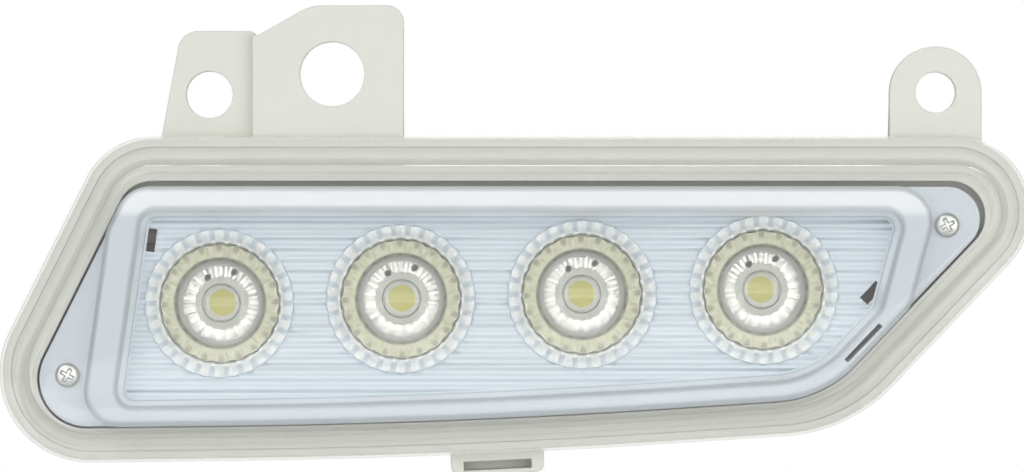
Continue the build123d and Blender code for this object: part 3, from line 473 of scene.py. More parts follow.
acrylic = Finish("clear_optic")
acrylic_ripple = acrylic.noise(0.0012, 2.0)
acrylic_x = acrylic.along("X")
acrylic_z = acrylic.along("Z")
acrylic_reach = (acrylic_x * acrylic_x + acrylic_z * acrylic_z) ** 0.5
acrylic_lens = ramp(acrylic, acrylic_reach, CENTRE_LENS_R - 0.5, CENTRE_LENS_R + 0.1)
acrylic_well = ramp(acrylic, acrylic_reach, WELL_FLOOR_R - 0.4, WELL_FLOOR_R)
acrylic_brim = ramp(acrylic, acrylic_reach, WELL_R - 0.75, WELL_R - 0.35)
acrylic_land = ramp(acrylic, acrylic_reach, WELL_R - 0.35, WELL_R + 0.35)
acrylic_edge = ramp(acrylic, acrylic_reach, OPTIC_R - 1.95, OPTIC_R - 0.75)
acrylic_up = acrylic_z - acrylic_x * PAINTED_SPOT_LEAN - PAINTED_SPOT_UP * MM
acrylic_aside = (acrylic_x * acrylic_x) ** 0.5 - PAINTED_SPOT_ASIDE * MM
acrylic_off = (acrylic_up * acrylic_up + acrylic_aside * acrylic_aside) ** 0.5
acrylic_painted_spots = ramp(acrylic, acrylic_off, PAINTED_SPOT_R_OUT, PAINTED_SPOT_R_IN)
acrylic_turn = acrylic.node("Math", {"operation": "ARCTAN2"}, {0: acrylic_z, 1: acrylic_x}) - row_lean
acrylic_wave = acrylic.node("Math", {"operation": "COSINE"}, {0: acrylic_turn * OPTIC_FLUTES})
acrylic_painted_bead_shade = acrylic.node(
    "MapRange",
    {"interpolation_type": "SMOOTHSTEP"},
    {"Value": acrylic_wave, "From Min": 0.1, "From Max": 0.9},
)
# The land of beads is painted yellow-olive: a painted image of the phosphor seen through the optic, with
# painted shade between the beads near its outer edge.
acrylic_painted_ring_image = acrylic.blend(acrylic_edge * acrylic_painted_bead_shade, (0.88, 0.87, 0.64, 1), (0.45, 0.44, 0.30, 1))
acrylic_body = acrylic.blend(acrylic_land, (0.79, 0.80, 0.78, 1), acrylic_painted_ring_image)
acrylic_milk_and_painted_light = acrylic.node(
    "BsdfPrincipled",
    {},
    {
        "Base Color": acrylic.blend(acrylic_painted_spots, acrylic_body, (0.03, 0.03, 0.027, 1)),
        "Roughness": 0.15,
    },
)
acrylic_clear = acrylic.node(
    "BsdfPrincipled",
    {},
    {
        "Base Color": (0.995, 0.995, 0.965, 1),
        "Roughness": 0.03,
        "Transmission Weight": 1.0,
        "IOR": 1.49,
        "Normal": acrylic.bumped(acrylic_ripple, 0.000004),
    },
)
# The milky share is a faint haze everywhere, plus painted light: the painted ring image on the land, and a
# pale band on the well's steep wall that lifts its shade.
acrylic_haze_and_painted_light = 0.03 + acrylic_lens * 0.05 + acrylic_land * 0.42 + (acrylic_well - acrylic_brim) * 0.5
acrylic_share = acrylic_haze_and_painted_light + acrylic_painted_spots * 0.85
acrylic_mixed = acrylic.node("MixShader", {}, {0: acrylic_share, 1: acrylic_clear, 2: acrylic_milk_and_painted_light})
clear_optic = acrylic.show(acrylic_mixed)

optic_skin = capped(*strips([optic_ring(r, y, fluted) for r, y, fluted in optic_profile()]), TURN_STEPS)
optic_legs = [leg(math.pi / 2 + 2 * math.pi * i / LEG_COUNT + row_lean) for i in range(LEG_COUNT)]
optic_points, optic_faces = joined(optic_skin, *optic_legs)
for number, (x, z) in enumerate(led_places, 1):
    optic = solid(f"optic_{number}", optic_points, optic_faces, clear_optic)
    optic.location = (x * MM, 0, z * MM)
    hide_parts(f"collimator_{number}")
    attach(optic, "root")


# Reflector bezel: a plastic moulding coated with aluminium in a vacuum, so that it shines like satin metal.
# A raised frame with rolled edges stands round a panel of horizontal flutes, and each optic sits in a
# toothed cup. Flat wings left and right of the frame take the screws.
RIM_DROP = 11.25
RIM_LEFT = 40.4
RIM_LENGTH = 184.0
RIM_HEIGHT = 58.95
LEFT_LEAN = 63.4
RIGHT_LEAN = 46.4
BOTTOM_LEFT_RISE = 0.7
BOTTOM_RIGHT_RISE = 3.7
BOTTOM_LEFT_RUN = 90.0
TOP_LEDGE = 1.4
LOW_REACH = 1.2
SWEEP_R = 1500.0
RIM_RADII = (16.2, SWEEP_R, 29.0, 13.5, 13.5)
BEZEL_IN = 7.6
FRAME_LEFT_X = -39.3
FRAME_LEFT_LEAN = 82.0
FRAME_RIGHT_X = 109.8
FRAME_RIGHT_LEAN = 75.0
FRAME_TOP_W = 5.5
FRAME_LOW_W = 4.6
FRAME_LEFT_W = 6.85
FRAME_RIGHT_W = 6.27
FRAME_R = 6.5
PANEL_R = 2.0
LEAST_R = 0.8
CORNER_STEPS = 20
CUT_NEAR = 1e-5
FAR = 1000.0


def heading(angle):
    """Front-view direction at an angle in degrees."""
    return Vector((math.cos(math.radians(angle)), math.sin(math.radians(angle))))


def meeting(line, other):
    """Point where two edges cross, each a point and an angle."""
    ends = [spot + heading(angle) * way for spot, angle in (line, other) for way in (-FAR, FAR)]
    return geometry.intersect_line_line_2d(*ends)


def moved_in(line, inset):
    """An edge moved to its left, which is inwards, by the inset."""
    return line[0] + heading(line[1] + 90) * inset, line[1]


def outline(edges, radii, inset):
    """Front-view points of a rounded shape, its anticlockwise edges moved in by the inset."""
    points = []
    for edge, after, radius in zip(edges, edges[1:] + edges[:1], radii):
        r = max(radius - inset, LEAST_R)
        centre = meeting(moved_in(edge, inset + r), moved_in(after, inset + r))
        turn = (after[1] - edge[1]) % 360
        for i in range(CORNER_STEPS + 1):
            spot = centre + heading(edge[1] - 90 + turn * i / CORNER_STEPS) * r
            points.append((spot.x, spot.y))
    return points


top_left = Vector((-RIM_LEFT, -RIM_DROP))
bottom_left = top_left - heading(LEFT_LEAN) * (RIM_HEIGHT / math.sin(math.radians(LEFT_LEAN)))
left_edge = (top_left, LEFT_LEAN + 180)
bottom_left_edge = (bottom_left, BOTTOM_LEFT_RISE)
bottom_right_edge = (bottom_left + heading(BOTTOM_LEFT_RISE) * BOTTOM_LEFT_RUN, BOTTOM_RIGHT_RISE)
right_edge = (top_left + Vector((RIM_LENGTH, 0)), RIGHT_LEAN)
top_edge = (top_left, 180.0)
ledge_edge = (top_left - Vector((0, TOP_LEDGE)), 180.0)
low_edges = [moved_in(edge, -LOW_REACH) for edge in (bottom_left_edge, bottom_right_edge)]
bezel_edges = [left_edge, *low_edges, right_edge, ledge_edge]


def bezel_outline(inset):
    """Outline of the bezel, which keeps further from the rim's top edge and nearer its bottom edge."""
    return outline(bezel_edges, RIM_RADII, inset)


def frame_edges():
    """Edges of the raised frame: those of the bezel and the frame's two ends."""
    left, low_left, low_right, right, top = [moved_in(edge, BEZEL_IN) for edge in bezel_edges]
    left_end = (Vector((FRAME_LEFT_X, top[0].y)), FRAME_LEFT_LEAN + 180)
    right_end = (Vector((FRAME_RIGHT_X, top[0].y)), FRAME_RIGHT_LEAN)
    return [left, left_end, low_left, low_right, right, right_end, top]


def raised_frame(inset):
    """Outline of the raised frame."""
    low_right_r = RIM_RADII[2] - BEZEL_IN
    radii = (FRAME_R, FRAME_R, SWEEP_R, low_right_r, FRAME_R, FRAME_R, FRAME_R)
    return outline(frame_edges(), radii, inset)


def panel(inset):
    """Outline of the recessed panel, along the foot of the frame's inner wall."""
    widths = (FRAME_LEFT_W, FRAME_LOW_W, FRAME_LOW_W, FRAME_LOW_W, FRAME_RIGHT_W, FRAME_TOP_W)
    edges = [moved_in(edge, width) for edge, width in zip(frame_edges()[1:], widths)]
    low_right_r = RIM_RADII[2] - BEZEL_IN - FRAME_LOW_W
    return outline(edges, (PANEL_R, SWEEP_R, low_right_r, PANEL_R, PANEL_R, PANEL_R), inset)


def slot(x, z, length, width, lean):
    """Corners of a straight opening."""
    along = heading(lean) * (length / 2)
    across = heading(lean + 90) * (width / 2)
    start, end = Vector((x, z)) - along, Vector((x, z)) + along
    return [start - across, end - across, end + across, start + across]


def swept(profile, shape):
    """Points and faces of a profile of insets and depths swept round an outline."""
    return strips([[(x, y, z) for x, z in shape(inset)] for inset, y in profile])


def within(spot, loop):
    """Whether a front-view point lies inside a closed loop."""
    x, z = spot
    inside = False
    for (ax, az), (bx, bz) in zip(loop, loop[1:] + loop[:1]):
        if (az > z) != (bz > z) and x < ax + (z - az) / (bz - az) * (bx - ax):
            inside = not inside
    return inside


def tile(loops, lines, wanted):
    """Front-view points and the wanted faces of a plate divided along closed loops and straight lines."""
    spots, edges = [], []
    for loop in loops:
        start = len(spots)
        spots += [Vector(spot) for spot in loop]
        edges += [(start + i, start + (i + 1) % len(loop)) for i in range(len(loop))]
    for line in lines:
        spots += [Vector(end) for end in line]
        edges.append((len(spots) - 2, len(spots) - 1))
    cut_spots, _, cut_faces, *_ = geometry.delaunay_2d_cdt(spots, edges, [], 0, CUT_NEAR)
    kept = []
    for face in cut_faces:
        middle = sum((cut_spots[i] for i in face), Vector((0, 0))) / len(face)
        if wanted(middle):
            kept.append(tuple(face))
    return cut_spots, kept


def plate(spots, faces, front, back_y):
    """A closed plate over front-view faces, its front at a depth that may vary and its back flat."""
    points = [(spot.x, front(spot), spot.y) for spot in spots]
    points += [(spot.x, back_y, spot.y) for spot in spots]
    size = len(spots)
    sides = {}
    for face in faces:
        for edge in zip(face, face[1:] + face[:1]):
            key = tuple(sorted(edge))
            sides[key] = None if key in sides else edge
    made = list(faces) + [tuple(size + i for i in reversed(face)) for face in faces]
    made += [(edge[0], edge[1], size + edge[1], size + edge[0]) for edge in sides.values() if edge]
    return points, made


SKIRT_Y = 2.0
SKIRT_T = 1.8
WING_Y = -3.5
WING_GAP = 0.05
WING_LAP = 0.3
FRAME_Y = -10.0
FRAME_ROLL = 1.2
WALL_RUN = 1.0
WALL_TOP_ROLL = 1.4
WALL_FOOT_ROLL = 0.45
RUN = 5.0
PANEL_Y = -3.0
PANEL_T = 1.8
PANEL_LAP = 0.05
FLUTE_PITCH = 1.95
FLUTE_DEPTH = 0.42
FLUTE_STEPS = 8
PORT_L = 4.2
PORT_W = 1.9
PORT_LEFT_IN = 6.6
PORT_LEFT_DOWN = 9.65
PORT_RIGHT_IN = 12.6
PORT_RIGHT_DOWN = 19.15
SLIT_L = 9.0
SLIT_W = 0.9
SLIT_IN = 14.4
SLIT_DOWN = 28.05

panel_back = PANEL_Y + PANEL_T
frame_top = frame_edges()[-1][0].y
ports = [
    slot(FRAME_LEFT_X + PORT_LEFT_IN, frame_top - PORT_LEFT_DOWN, PORT_L, PORT_W, FRAME_LEFT_LEAN),
    slot(FRAME_RIGHT_X - PORT_RIGHT_IN, frame_top - PORT_RIGHT_DOWN, PORT_L, PORT_W, RIGHT_LEAN),
]
slit = slot(FRAME_RIGHT_X - SLIT_IN, frame_top - SLIT_DOWN, SLIT_L, SLIT_W, RIGHT_LEAN)


def frame_shell():
    """The raised frame: outer wall with a rolled edge, flat band with a slit in it, inner wall and back."""
    outer = [(SKIRT_T, panel_back), (SKIRT_T, SKIRT_Y), (0.0, SKIRT_Y)]
    outer += rounded((0.0, SKIRT_Y), (0.0, FRAME_Y), (RUN, FRAME_Y), FRAME_ROLL, steps=6)
    wall_top, wall_foot = (-WALL_RUN, FRAME_Y), (0.0, PANEL_Y)
    wall = rounded((-RUN, FRAME_Y), wall_top, wall_foot, WALL_TOP_ROLL, steps=8)
    wall += rounded(wall_top, wall_foot, (RUN, PANEL_Y), WALL_FOOT_ROLL)
    wall.append((wall[-1][0], panel_back))
    skins = [swept(outer, raised_frame), swept(wall, panel)]
    for out, depth, inn in ((outer[-1][0], FRAME_Y, wall[0][0]), (SKIRT_T, panel_back, wall[-1][0])):
        edge, foot = raised_frame(out), panel(inn)

        def band(spot):
            return within(spot, edge) and not within(spot, foot) and not within(spot, slit)

        spots, faces = tile([edge, foot, slit], [], band)
        skins.append(([(spot.x, depth, spot.y) for spot in spots], faces))
    slit_rings = [[(spot.x, depth, spot.y) for spot in slit] for depth in (FRAME_Y, panel_back)]
    return joined(*skins, strips(slit_rings))


def flute(spot):
    """Depth of the panel's face at a front-view point."""
    return PANEL_Y + FLUTE_DEPTH * (0.5 - 0.5 * math.cos(2 * math.pi * spot.y / FLUTE_PITCH))


CUP_R = 13.1
CUP_MOUTH_R = 11.4
CUP_MOUTH_Y = 1.6
CUP_MOUTH_STEP = 0.4
CUP_TEETH = 30
CUP_BEVEL = 1.6
CUP_SWELL = 0.25
CUP_TOOTH = 0.9
CUP_TOOTH_FADE = 0.3
CUP_TOOTH_FOOT = 0.4
CUP_TOOTH_LIP = 0.7
CUP_TOOTH_BORE = 0.2
CUP_CROWN = 0.6
CUP_LIP = 0.35
CUP_LIP_H = 0.4
CUP_LIP_FOOT = 0.1
CUP_LIP_ROLL = 0.15
CUP_WALL = 1.2
CUP_SEAT_LAP = 0.1
CUP_SEAT_Y = OPTIC_SHOULDER_Y + 0.2
CUP_BACK_Y = OPTIC_SHOULDER_Y + 0.6
CUP_HOLE_STEPS = 96
TOOTH_STEPS = 10
NEARLY = 0.999


def fluted_panel():
    """The panel between its edge and the four cups, with an edge along every step of every flute."""
    edge_loop = panel(-PANEL_LAP)
    turns = [2 * math.pi * i / CUP_HOLE_STEPS for i in range(CUP_HOLE_STEPS)]
    ring = [(CUP_R * math.cos(turn), CUP_R * math.sin(turn)) for turn in turns]
    holes = [[(x + across, z + up) for across, up in ring] for x, z in led_places]
    centres = [Vector(place) for place in led_places]
    low, high = min(z for x, z in edge_loop), max(z for x, z in edge_loop)
    left, right = min(x for x, z in edge_loop) - 1, max(x for x, z in edge_loop) + 1
    step = FLUTE_PITCH / FLUTE_STEPS
    rows = range(math.ceil(low / step), math.floor(high / step) + 1)
    lines = [((left, row * step), (right, row * step)) for row in rows]

    def face_of_panel(spot):
        clear_of_cups = all((spot - centre).length > CUP_R * NEARLY for centre in centres)
        return clear_of_cups and within(spot, edge_loop) and not any(within(spot, port) for port in ports)

    spots, faces = tile([edge_loop] + holes + ports, lines, face_of_panel)
    return plate(spots, faces, flute, panel_back)


def wings():
    """The flat plates left and right of the raised frame, down to the housing's ledge."""
    outer, frame_edge = bezel_outline(BEZEL_IN + WING_GAP), raised_frame(WING_LAP)
    spots, faces = tile(
        [outer, frame_edge], [], lambda spot: within(spot, outer) and not within(spot, frame_edge)
    )
    return plate(spots, faces, lambda spot: WING_Y, SKIRT_Y)


def cup(x, z):
    """A cup's toothed bevel on the panel, its bore and its outside."""
    lip_r, lip_y = CUP_R + CUP_LIP, PANEL_Y - CUP_LIP_H
    profile = [(lip_r, panel_back, 0), (lip_r, PANEL_Y - CUP_LIP_FOOT, CUP_TOOTH_FOOT)]
    profile.append((lip_r - CUP_LIP_ROLL, lip_y, CUP_TOOTH_LIP))
    for i in range(ROUND_STEPS + 1):
        share = i / ROUND_STEPS
        swell = CUP_SWELL * math.sin(math.pi * share)
        r = CUP_R + (CUP_MOUTH_R - CUP_R) * share
        profile.append((r, lip_y + (CUP_BEVEL + CUP_LIP_H) * share - swell, 1 - CUP_TOOTH_FADE * share))
    bore_r, seat_r = CUP_MOUTH_R - CUP_MOUTH_STEP, OPTIC_R - CUP_SEAT_LAP
    profile += [(bore_r, y, CUP_TOOTH_BORE) for y in (PANEL_Y + CUP_BEVEL + CUP_MOUTH_STEP, CUP_MOUTH_Y)]
    profile += [(seat_r, CUP_SEAT_Y, 0), (seat_r, CUP_BACK_Y, 0)]
    profile += [(CUP_R + CUP_WALL, CUP_BACK_Y, 0), (CUP_R + CUP_WALL, panel_back, 0)]
    rings = []
    steps = CUP_TEETH * TOOTH_STEPS
    for r, y, toothed in profile:
        ring = []
        for j in range(steps):
            turn = 2 * math.pi * j / steps
            rise = CUP_TOOTH * toothed * (0.5 - abs(2 * (j / TOOTH_STEPS % 1) - 1))
            reach = r + rise / 2
            ring.append((x + reach * math.cos(turn), y - rise, z + reach * math.sin(turn)))
        rings.append(ring)
    return strips(rings, closed=True)


metal = Finish("metallised_bezel")
metal_haze = metal.noise(0.008, 4.0)
metal_depth = metal.along("Y")
# The sides of the frame, between its front and the wings, are painted near-white: painted light that lifts
# the shade in them.
metal_painted_wall_light = ramp(metal, metal_depth, FRAME_Y + 0.4, FRAME_Y + 2.0, "LINEAR")
metal_wing = ramp(metal, metal_depth, WING_Y - 0.5, WING_Y - 0.1, "LINEAR")
metal_panel = ramp(metal, metal_depth, PANEL_Y - 0.45, PANEL_Y - 0.15, "LINEAR")
# The frame's band turns paler towards its top edge: a painted highlight for light from above.
top_band = frame_top - FRAME_TOP_W
metal_painted_top_highlight = ramp(metal, metal.along("Z"), top_band - 0.45, top_band + 1.55)
metal_front = metal.blend(metal_painted_top_highlight, (0.455, 0.492, 0.54, 1), (0.645, 0.665, 0.70, 1))
metal_side = metal.blend(metal_painted_wall_light, metal_front, (0.92, 0.94, 0.97, 1))
metal_lower = metal.blend(metal_wing, metal_side, (0.48, 0.515, 0.565, 1))
metallised = metal.plain(
    {
        "Base Color": metal.blend(metal_panel, metal_lower, (0.635, 0.695, 0.75, 1)),
        "Metallic": 0.3,
        "Roughness": 0.34 + metal_haze * 0.1 + metal_panel * 0.18,
    }
)
# Tooth tips and cup bores take a much paler copy of the bezel's metal, with white spots from noise: painted
# highlights and painted glints. In the bores this paler colour also lifts the shade.
crown = Finish("painted_highlight_crown")
crown_haze_and_painted_glint = crown.noise(0.0016, 2.0)
crown_painted_glint = crown.node("MapRange", {}, {"Value": crown_haze_and_painted_glint, "From Min": 0.4, "From Max": 0.62})
painted_highlight_crown = crown.plain(
    {
        "Base Color": crown.blend(crown_painted_glint, (0.84, 0.88, 0.90, 1), (1.0, 1.0, 1.0, 1)),
        "Metallic": 0.15,
        "Roughness": 0.15 + crown_haze_and_painted_glint * 0.1,
    }
)
cups = [cup(x, z) for x, z in led_places]
bezel_points, bezel_faces = joined(frame_shell(), wings(), fluted_panel(), *cups)
bezel = solid("bezel", bezel_points, bezel_faces, metallised, smooth_below=50.0)
bezel.data.materials.append(painted_highlight_crown)
# The crowns of the teeth and the bores take the painted-highlight material.
for polygon in bezel.data.polygons:
    spot = Vector((polygon.center.x, polygon.center.z)) / MM
    out = min((spot - Vector(place) for place in led_places), key=lambda arm: arm.length)
    across_tooth = CUP_TEETH * math.atan2(out.y, out.x) / (2 * math.pi) % 1
    on_crown = abs(across_tooth - 0.5) < CUP_CROWN / 2
    if out.length < CUP_R + CUP_LIP / 2 and (out.length < CUP_MOUTH_R or on_crown):
        polygon.material_index = 1
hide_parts("reflector_bezel")
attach(bezel, "root")


# Bezel screws: plated steel, cold-headed with a low pan and a cross recess, thread rolled on the shank.
# One goes through each wing into a boss of the housing.
SCREW_LEFT_IN = 22.3
SCREW_LEFT_UP = 16.0
SCREW_LEFT_TURN = 0.5
SCREW_RIGHT_IN = 32.86
SCREW_RIGHT_DOWN = 15.95
SCREW_RIGHT_TURN = 1.1
SCREW_R = 1.4
SCREW_TIP_Y = 6.5
SCREW_TIP_R = 0.3
SCREW_TIP_H = 0.4
SCREW_NECK_R = 1.12
SCREW_TURN_STEPS = 96
HEAD_R = 2.2
HEAD_H = 1.8
HEAD_CROWN_R = 1.76
HEAD_CROWN_H = 0.25
HEAD_SHOULDER_R = 2.046
HEAD_SHOULDER_H = 0.5
HEAD_SIDE_H = 0.95
HEAD_EDGE = 0.1
HEAD_MIDDLE_R = 0.01
HEAD_STEPS = 18
RECESS_REACH = 1.35
RECESS_HALF_W = 0.34
RECESS_DEPTH = 0.8
RECESS_SIDE = 0.1
RECESS_END = 0.25
THREAD_START = 3.0
THREAD_RUN_IN = 0.5
THREAD_PITCH = 1.3
THREAD_TURNS = 5
THREAD_DEPTH = 0.12
THREAD_HALF = 0.3


def recess(across, up):
    """Depth of the cross recess at a point on the head."""
    arm = min(abs(across), abs(up))
    run = max(abs(across), abs(up))
    side = min(max((RECESS_HALF_W - arm) / RECESS_SIDE, 0.0), 1.0)
    end = min(max((RECESS_REACH - run) / RECESS_END, 0.0), 1.0)
    return RECESS_DEPTH * side * end


def pan_screw(x, z, turned):
    """Points and faces of a screw whose head sits on the wing, its recess turned by an angle."""
    top_y = WING_Y - HEAD_H
    profile = []
    for i in range(HEAD_STEPS + 1):
        share = i / HEAD_STEPS
        profile.append((HEAD_MIDDLE_R + HEAD_CROWN_R * share, top_y + HEAD_CROWN_H * share ** 2))
    profile += [(HEAD_SHOULDER_R, top_y + HEAD_SHOULDER_H), (HEAD_R, top_y + HEAD_SIDE_H)]
    profile += [(HEAD_R, WING_Y - HEAD_EDGE), (HEAD_R - HEAD_EDGE, WING_Y)]
    profile += [(SCREW_R, WING_Y), (SCREW_R, WING_Y + THREAD_START - THREAD_RUN_IN)]
    root_r = SCREW_R - THREAD_DEPTH
    for i in range(THREAD_TURNS):
        crest = WING_Y + THREAD_START + i * THREAD_PITCH
        profile += [(root_r, crest - THREAD_HALF), (SCREW_R, crest), (root_r, crest + THREAD_HALF)]
    profile += [(SCREW_NECK_R, SCREW_TIP_Y - SCREW_TIP_H), (SCREW_TIP_R, SCREW_TIP_Y)]
    rings = []
    for r, y in profile:
        ring = []
        for j in range(SCREW_TURN_STEPS):
            turn = 2 * math.pi * j / SCREW_TURN_STEPS
            sunk = 0.0
            if y < top_y + HEAD_SHOULDER_H:
                sunk = recess(r * math.cos(turn + turned), r * math.sin(turn + turned))
            ring.append((x + r * math.cos(turn), y + sunk, z + r * math.sin(turn)))
        rings.append(ring)
    return capped(*strips(rings), SCREW_TURN_STEPS)


left_spot = bottom_left + Vector((SCREW_LEFT_IN, SCREW_LEFT_UP))
right_spot = right_edge[0] - Vector((SCREW_RIGHT_IN, SCREW_RIGHT_DOWN))
screw_points, screw_faces = joined(
    pan_screw(*left_spot, SCREW_LEFT_TURN), pan_screw(*right_spot, SCREW_RIGHT_TURN)
)
wing_screws = solid("wing_screws", screw_points, screw_faces, plated_steel, smooth_below=35.0)
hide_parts("bezel_screws")
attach(wing_screws, "root")


# Cover: clear polycarbonate, moulded with a flange, a tongue for the seal and a soft-edged raised front.
# It is welded down on to the housing's rim last of all, which leaves its outer edge a little hazy.
LENS_SEAT_Y = -4.04
LENS_FLANGE_Y = -6.4
LENS_FRONT_Y = -15.4
LENS_STEP = 3.9
LENS_WALL = 2.4
LENS_DRAFT = 8.0
LENS_FRONT_ROLL = 2.2
LENS_FRONT_FLAT = 6.0
LENS_FOOT_ROLL = 0.6
LENS_EDGE_ROLL = 0.7
LENS_CAVITY_ROLL = 1.2
LENS_RUN = 9.0
TONGUE_OUT = 2.7
TONGUE_IN = 4.2
TONGUE_Y = -2.44

lean = math.tan(math.radians(LENS_DRAFT))
lens_back_y = LENS_FRONT_Y + LENS_WALL
front_corner = (LENS_STEP + (LENS_SEAT_Y - LENS_FRONT_Y) * lean, LENS_FRONT_Y)
foot_corner = (LENS_STEP + (LENS_SEAT_Y - LENS_FLANGE_Y) * lean, LENS_FLANGE_Y)
edge_corner = (0.0, LENS_FLANGE_Y)
edge_seat = (0.0, LENS_SEAT_Y)
cavity_foot = (LENS_STEP + LENS_WALL, LENS_SEAT_Y)
cavity_corner = (LENS_STEP + LENS_WALL + (LENS_SEAT_Y - lens_back_y) * lean, lens_back_y)


def rim_outline(inset):
    """Outline of the housing's rim, which the cover's flange follows."""
    return outline([left_edge, bottom_left_edge, bottom_right_edge, right_edge, top_edge], RIM_RADII, inset)


def raised_outline(inset):
    """Outline of the cover's raised front, which comes nearer the bottom edge than the rim does."""
    return outline([left_edge, *low_edges, right_edge, top_edge], RIM_RADII, inset)


front_end = (front_corner[0] + LENS_RUN, LENS_FRONT_Y)
raised = [(front_corner[0] + LENS_FRONT_FLAT, LENS_FRONT_Y)]
raised += rounded(front_end, front_corner, foot_corner, LENS_FRONT_ROLL, steps=8)
raised += rounded(front_corner, foot_corner, edge_corner, LENS_FOOT_ROLL, steps=4)
flange = rounded(foot_corner, edge_corner, edge_seat, LENS_EDGE_ROLL)
edge_first, edge_last = len(raised), len(raised) + len(flange)
flange += [edge_seat, (TONGUE_OUT, LENS_SEAT_Y), (TONGUE_OUT, TONGUE_Y), (TONGUE_IN, TONGUE_Y)]
flange.append((TONGUE_IN, LENS_SEAT_Y))
cavity_end = (cavity_corner[0] + LENS_RUN, lens_back_y)
cavity = [cavity_foot, *rounded(cavity_foot, cavity_corner, cavity_end, LENS_CAVITY_ROLL, steps=6)]
lens_rings = []
for shape, profile in ((raised_outline, raised), (rim_outline, flange), (raised_outline, cavity)):
    lens_rings += [[(x, y, z) for x, z in shape(inset)] for inset, y in profile]
ring_size = len(lens_rings[0])
lens_points, lens_faces = capped(*strips(lens_rings), ring_size)

clear = Finish("clear_cover")
clear_gloss = clear.node(
    "BsdfPrincipled", {}, {"Base Color": (0.98, 0.99, 0.98, 1), "Metallic": 1.0, "Roughness": 0.04}
)
clear_body = clear.node("BsdfTransparent", {}, {"Color": (0.992, 0.996, 0.991, 1)})
clear_turn = clear.node("LayerWeight", {}, {"Blend": 0.5}, output="Facing")
clear_shine = 0.025 + clear_turn ** 5.0 * 0.6
clear_face = clear.node("MixShader", {}, {0: clear_shine, 1: clear_body, 2: clear_gloss})
clear_skin = clear.node("BsdfPrincipled", {}, {"Base Color": (0.86, 0.87, 0.85, 1), "Roughness": 0.2})
clear_depth = clear.along("Y")
clear_flange = ramp(clear, clear_depth, LENS_FLANGE_Y - 2.1, LENS_FLANGE_Y + 0.1)
clear_under = ramp(clear, clear_depth, LENS_FLANGE_Y + 0.2, LENS_FLANGE_Y + 0.8)
clear_cloud = clear.noise(0.02, 2.0)
clear_haze = clear_turn ** 2.0 * 0.3 + (clear_flange - clear_under) * (0.14 + clear_cloud * 0.12)
clear_cover = clear.show(clear.node("MixShader", {}, {0: clear_haze, 1: clear_face, 2: clear_skin}))

hazy = Finish("cover_edge")
hazy_grain = hazy.noise(0.0008, 3.0)
hazy_colour = hazy.blend(hazy_grain, (0.74, 0.75, 0.69, 1), (0.82, 0.83, 0.77, 1))
hazy_body = hazy.node("BsdfPrincipled", {}, {"Base Color": hazy_colour, "Roughness": 0.25})
hazy_clear = hazy.node("BsdfTransparent", {}, {"Color": (0.99, 0.995, 0.99, 1)})
hazy_share = 0.45 + hazy_grain * 0.2
cover_edge = hazy.show(hazy.node("MixShader", {}, {0: hazy_share, 1: hazy_clear, 2: hazy_body}))

cover = solid("cover", lens_points, lens_faces, clear_cover, smooth_below=30.0)
cover.data.materials.append(cover_edge)
edge_faces = range(edge_first * ring_size, edge_last * ring_size)
for polygon in cover.data.polygons:
    polygon.material_index = 1 if polygon.index in edge_faces else 0
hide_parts("cover_lens")
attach(cover, "root")


# Connector and breather: a black glass-filled socket snapped into the rear wall over a flat seal,
# with two tin-plated blades bent over to the board, and a rubber cap on the breather's stub.
dress("connector_body", moulded_resin("connector_black", (0.01, 0.01, 0.0105), 0.42))
dress("connector_seal", gasket_rubber)
dress("vent_cap", soft_rubber("vent_rubber", (0.016, 0.016, 0.017)))
tin = Finish("terminal_tin")
tin_streak = tin.noise(0.0006, 3.0)
tinned = tin.plain(
    {
        "Base Color": tin.blend(tin_streak, (0.62, 0.61, 0.57, 1), (0.74, 0.73, 0.69, 1)),
        "Metallic": 1.0,
        "Roughness": 0.2 + tin_streak * 0.15,
        "Normal": tin.bumped(tin_streak, 0.00001, 0.0001),
    }
)
dress("positive_terminal", tinned)
dress("negative_terminal", tinned)


# Stage: a plain pale floor some way below the lamp, and soft boxes in front, above, below and behind.
# The floor takes the lamp's shadow and fades to white further out, like the surroundings.
PAPER_DROP = 0.12
PAPER_HALF = 3.0
PAPER_NEAR = 120.0
PAPER_FAR = 500.0
SKY_LIGHT = 0.3
WHITE = (1, 1, 1, 1)
SOFT_BOXES = (
    ("front", (-0.15, -2.0, 0.3), (2.6, 1.8), 22.5),
    ("key", (-0.5, -0.7, 0.85), (0.7, 0.5), 3.0),
    ("fill", (0.8, -0.9, 0.1), (0.7, 0.7), 2.5),
    ("low", (0.03, -1.0, -0.14), (1.4, 0.1), 1.05),
    ("back", (0.2, 0.8, 0.6), (0.8, 0.5), 6.0),
)


def looked_at(finish):
    """1 for what is seen straight, in a mirror or through glass, 0 for what only gives light."""
    seen = finish.node("LightPath", output="Is Camera Ray")
    for way in ("Is Singular Ray", "Is Transmission Ray"):
        ray = finish.node("LightPath", output=way)
        seen = finish.node("Math", {"operation": "MAXIMUM"}, {0: seen, 1: ray})
    return seen


middle = (cad_box[0] + cad_box[1]) / 2
paper_corners = [(x * PAPER_HALF, y * PAPER_HALF, 0.0) for x, y in ((-1, -1), (1, -1), (1, 1), (-1, 1))]
paper_mesh = bpy.data.meshes.new("paper")
paper_mesh.from_pydata(paper_corners, [], [(0, 1, 2, 3)])
paper_sheet = bpy.data.objects.new("paper", paper_mesh)
paper_sheet.location = (middle.x, middle.y, cad_box[0].z - PAPER_DROP)
bpy.context.scene.collection.objects.link(paper_sheet)

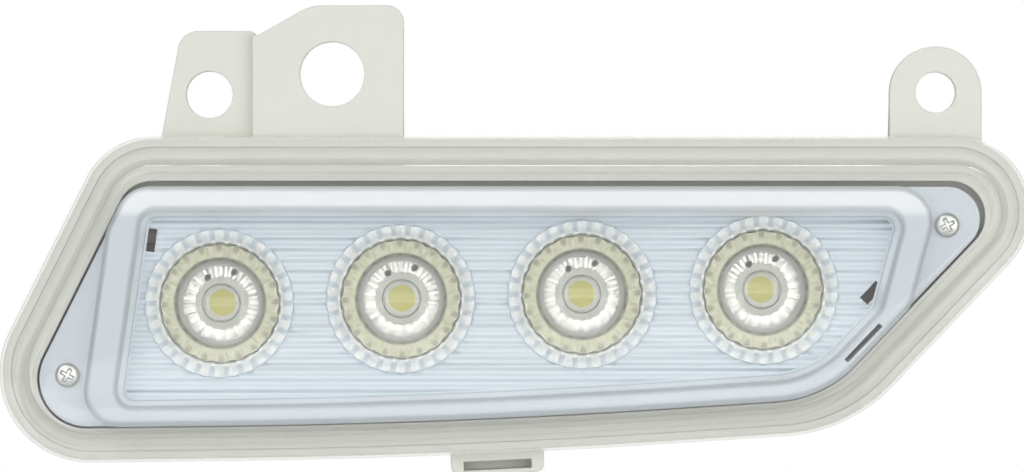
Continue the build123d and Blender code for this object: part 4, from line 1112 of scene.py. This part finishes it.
paper = Finish("paper_white")
paper_x = paper.along("X")
paper_y = paper.along("Y")
paper_reach = (paper_x * paper_x + paper_y * paper_y) ** 0.5
paper_white = looked_at(paper) * ramp(paper, paper_reach, PAPER_NEAR, PAPER_FAR)
paper_flat = paper.node("BsdfPrincipled", {}, {"Base Color": (0.86, 0.86, 0.86, 1), "Roughness": 0.9})
paper_glow = paper.node("Emission", {}, {"Color": WHITE, "Strength": 1.0})
paper_sheet.data.materials.append(
    paper.show(paper.node("MixShader", {}, {0: paper_white, 1: paper_flat, 2: paper_glow}))
)

sky = Finish("studio", world=True)
sky_light = sky.node("Background", {}, {"Color": WHITE, "Strength": SKY_LIGHT})
sky_white = sky.node("Background", {}, {"Color": WHITE, "Strength": 1.0})
sky_mixed = sky.node("MixShader", {}, {0: looked_at(sky), 1: sky_light, 2: sky_white})
bpy.context.scene.world = sky.show(sky_mixed, "OutputWorld")

for name, place, size, power in SOFT_BOXES:
    light = bpy.data.lights.new(name, "AREA")
    light.shape = "RECTANGLE"
    light.size, light.size_y = size
    light.energy = power
    soft_box = bpy.data.objects.new(name, light)
    soft_box.location = place
    soft_box.rotation_euler = (middle - Vector(place)).to_track_quat("-Z", "Y").to_euler()
    bpy.context.scene.collection.objects.link(soft_box)

IMAGE_W = 1024
IMAGE_H = 472
IMAGE_ORIGIN = (332, 74)
IMAGE_PX = 0.18
VIEW_PLANE_Y = -4.0
VIEW_LENS = 250.0
VIEW_SENSOR = 36.0
view_x = (IMAGE_W / 2 - IMAGE_ORIGIN[0]) * IMAGE_PX
view_z = (IMAGE_ORIGIN[1] - IMAGE_H / 2) * IMAGE_PX
view_reach = IMAGE_W * IMAGE_PX * VIEW_LENS / VIEW_SENSOR
camera_data = bpy.data.cameras.new("camera")
camera_data.lens = VIEW_LENS
camera_data.sensor_width = VIEW_SENSOR
camera = bpy.data.objects.new("camera", camera_data)
camera.location = Vector((view_x, VIEW_PLANE_Y - view_reach, view_z)) * MM
camera.rotation_euler = (math.radians(90), 0, 0)
bpy.context.scene.collection.objects.link(camera)
bpy.context.scene.camera = camera
bpy.context.scene.view_settings.view_transform = "Standard"
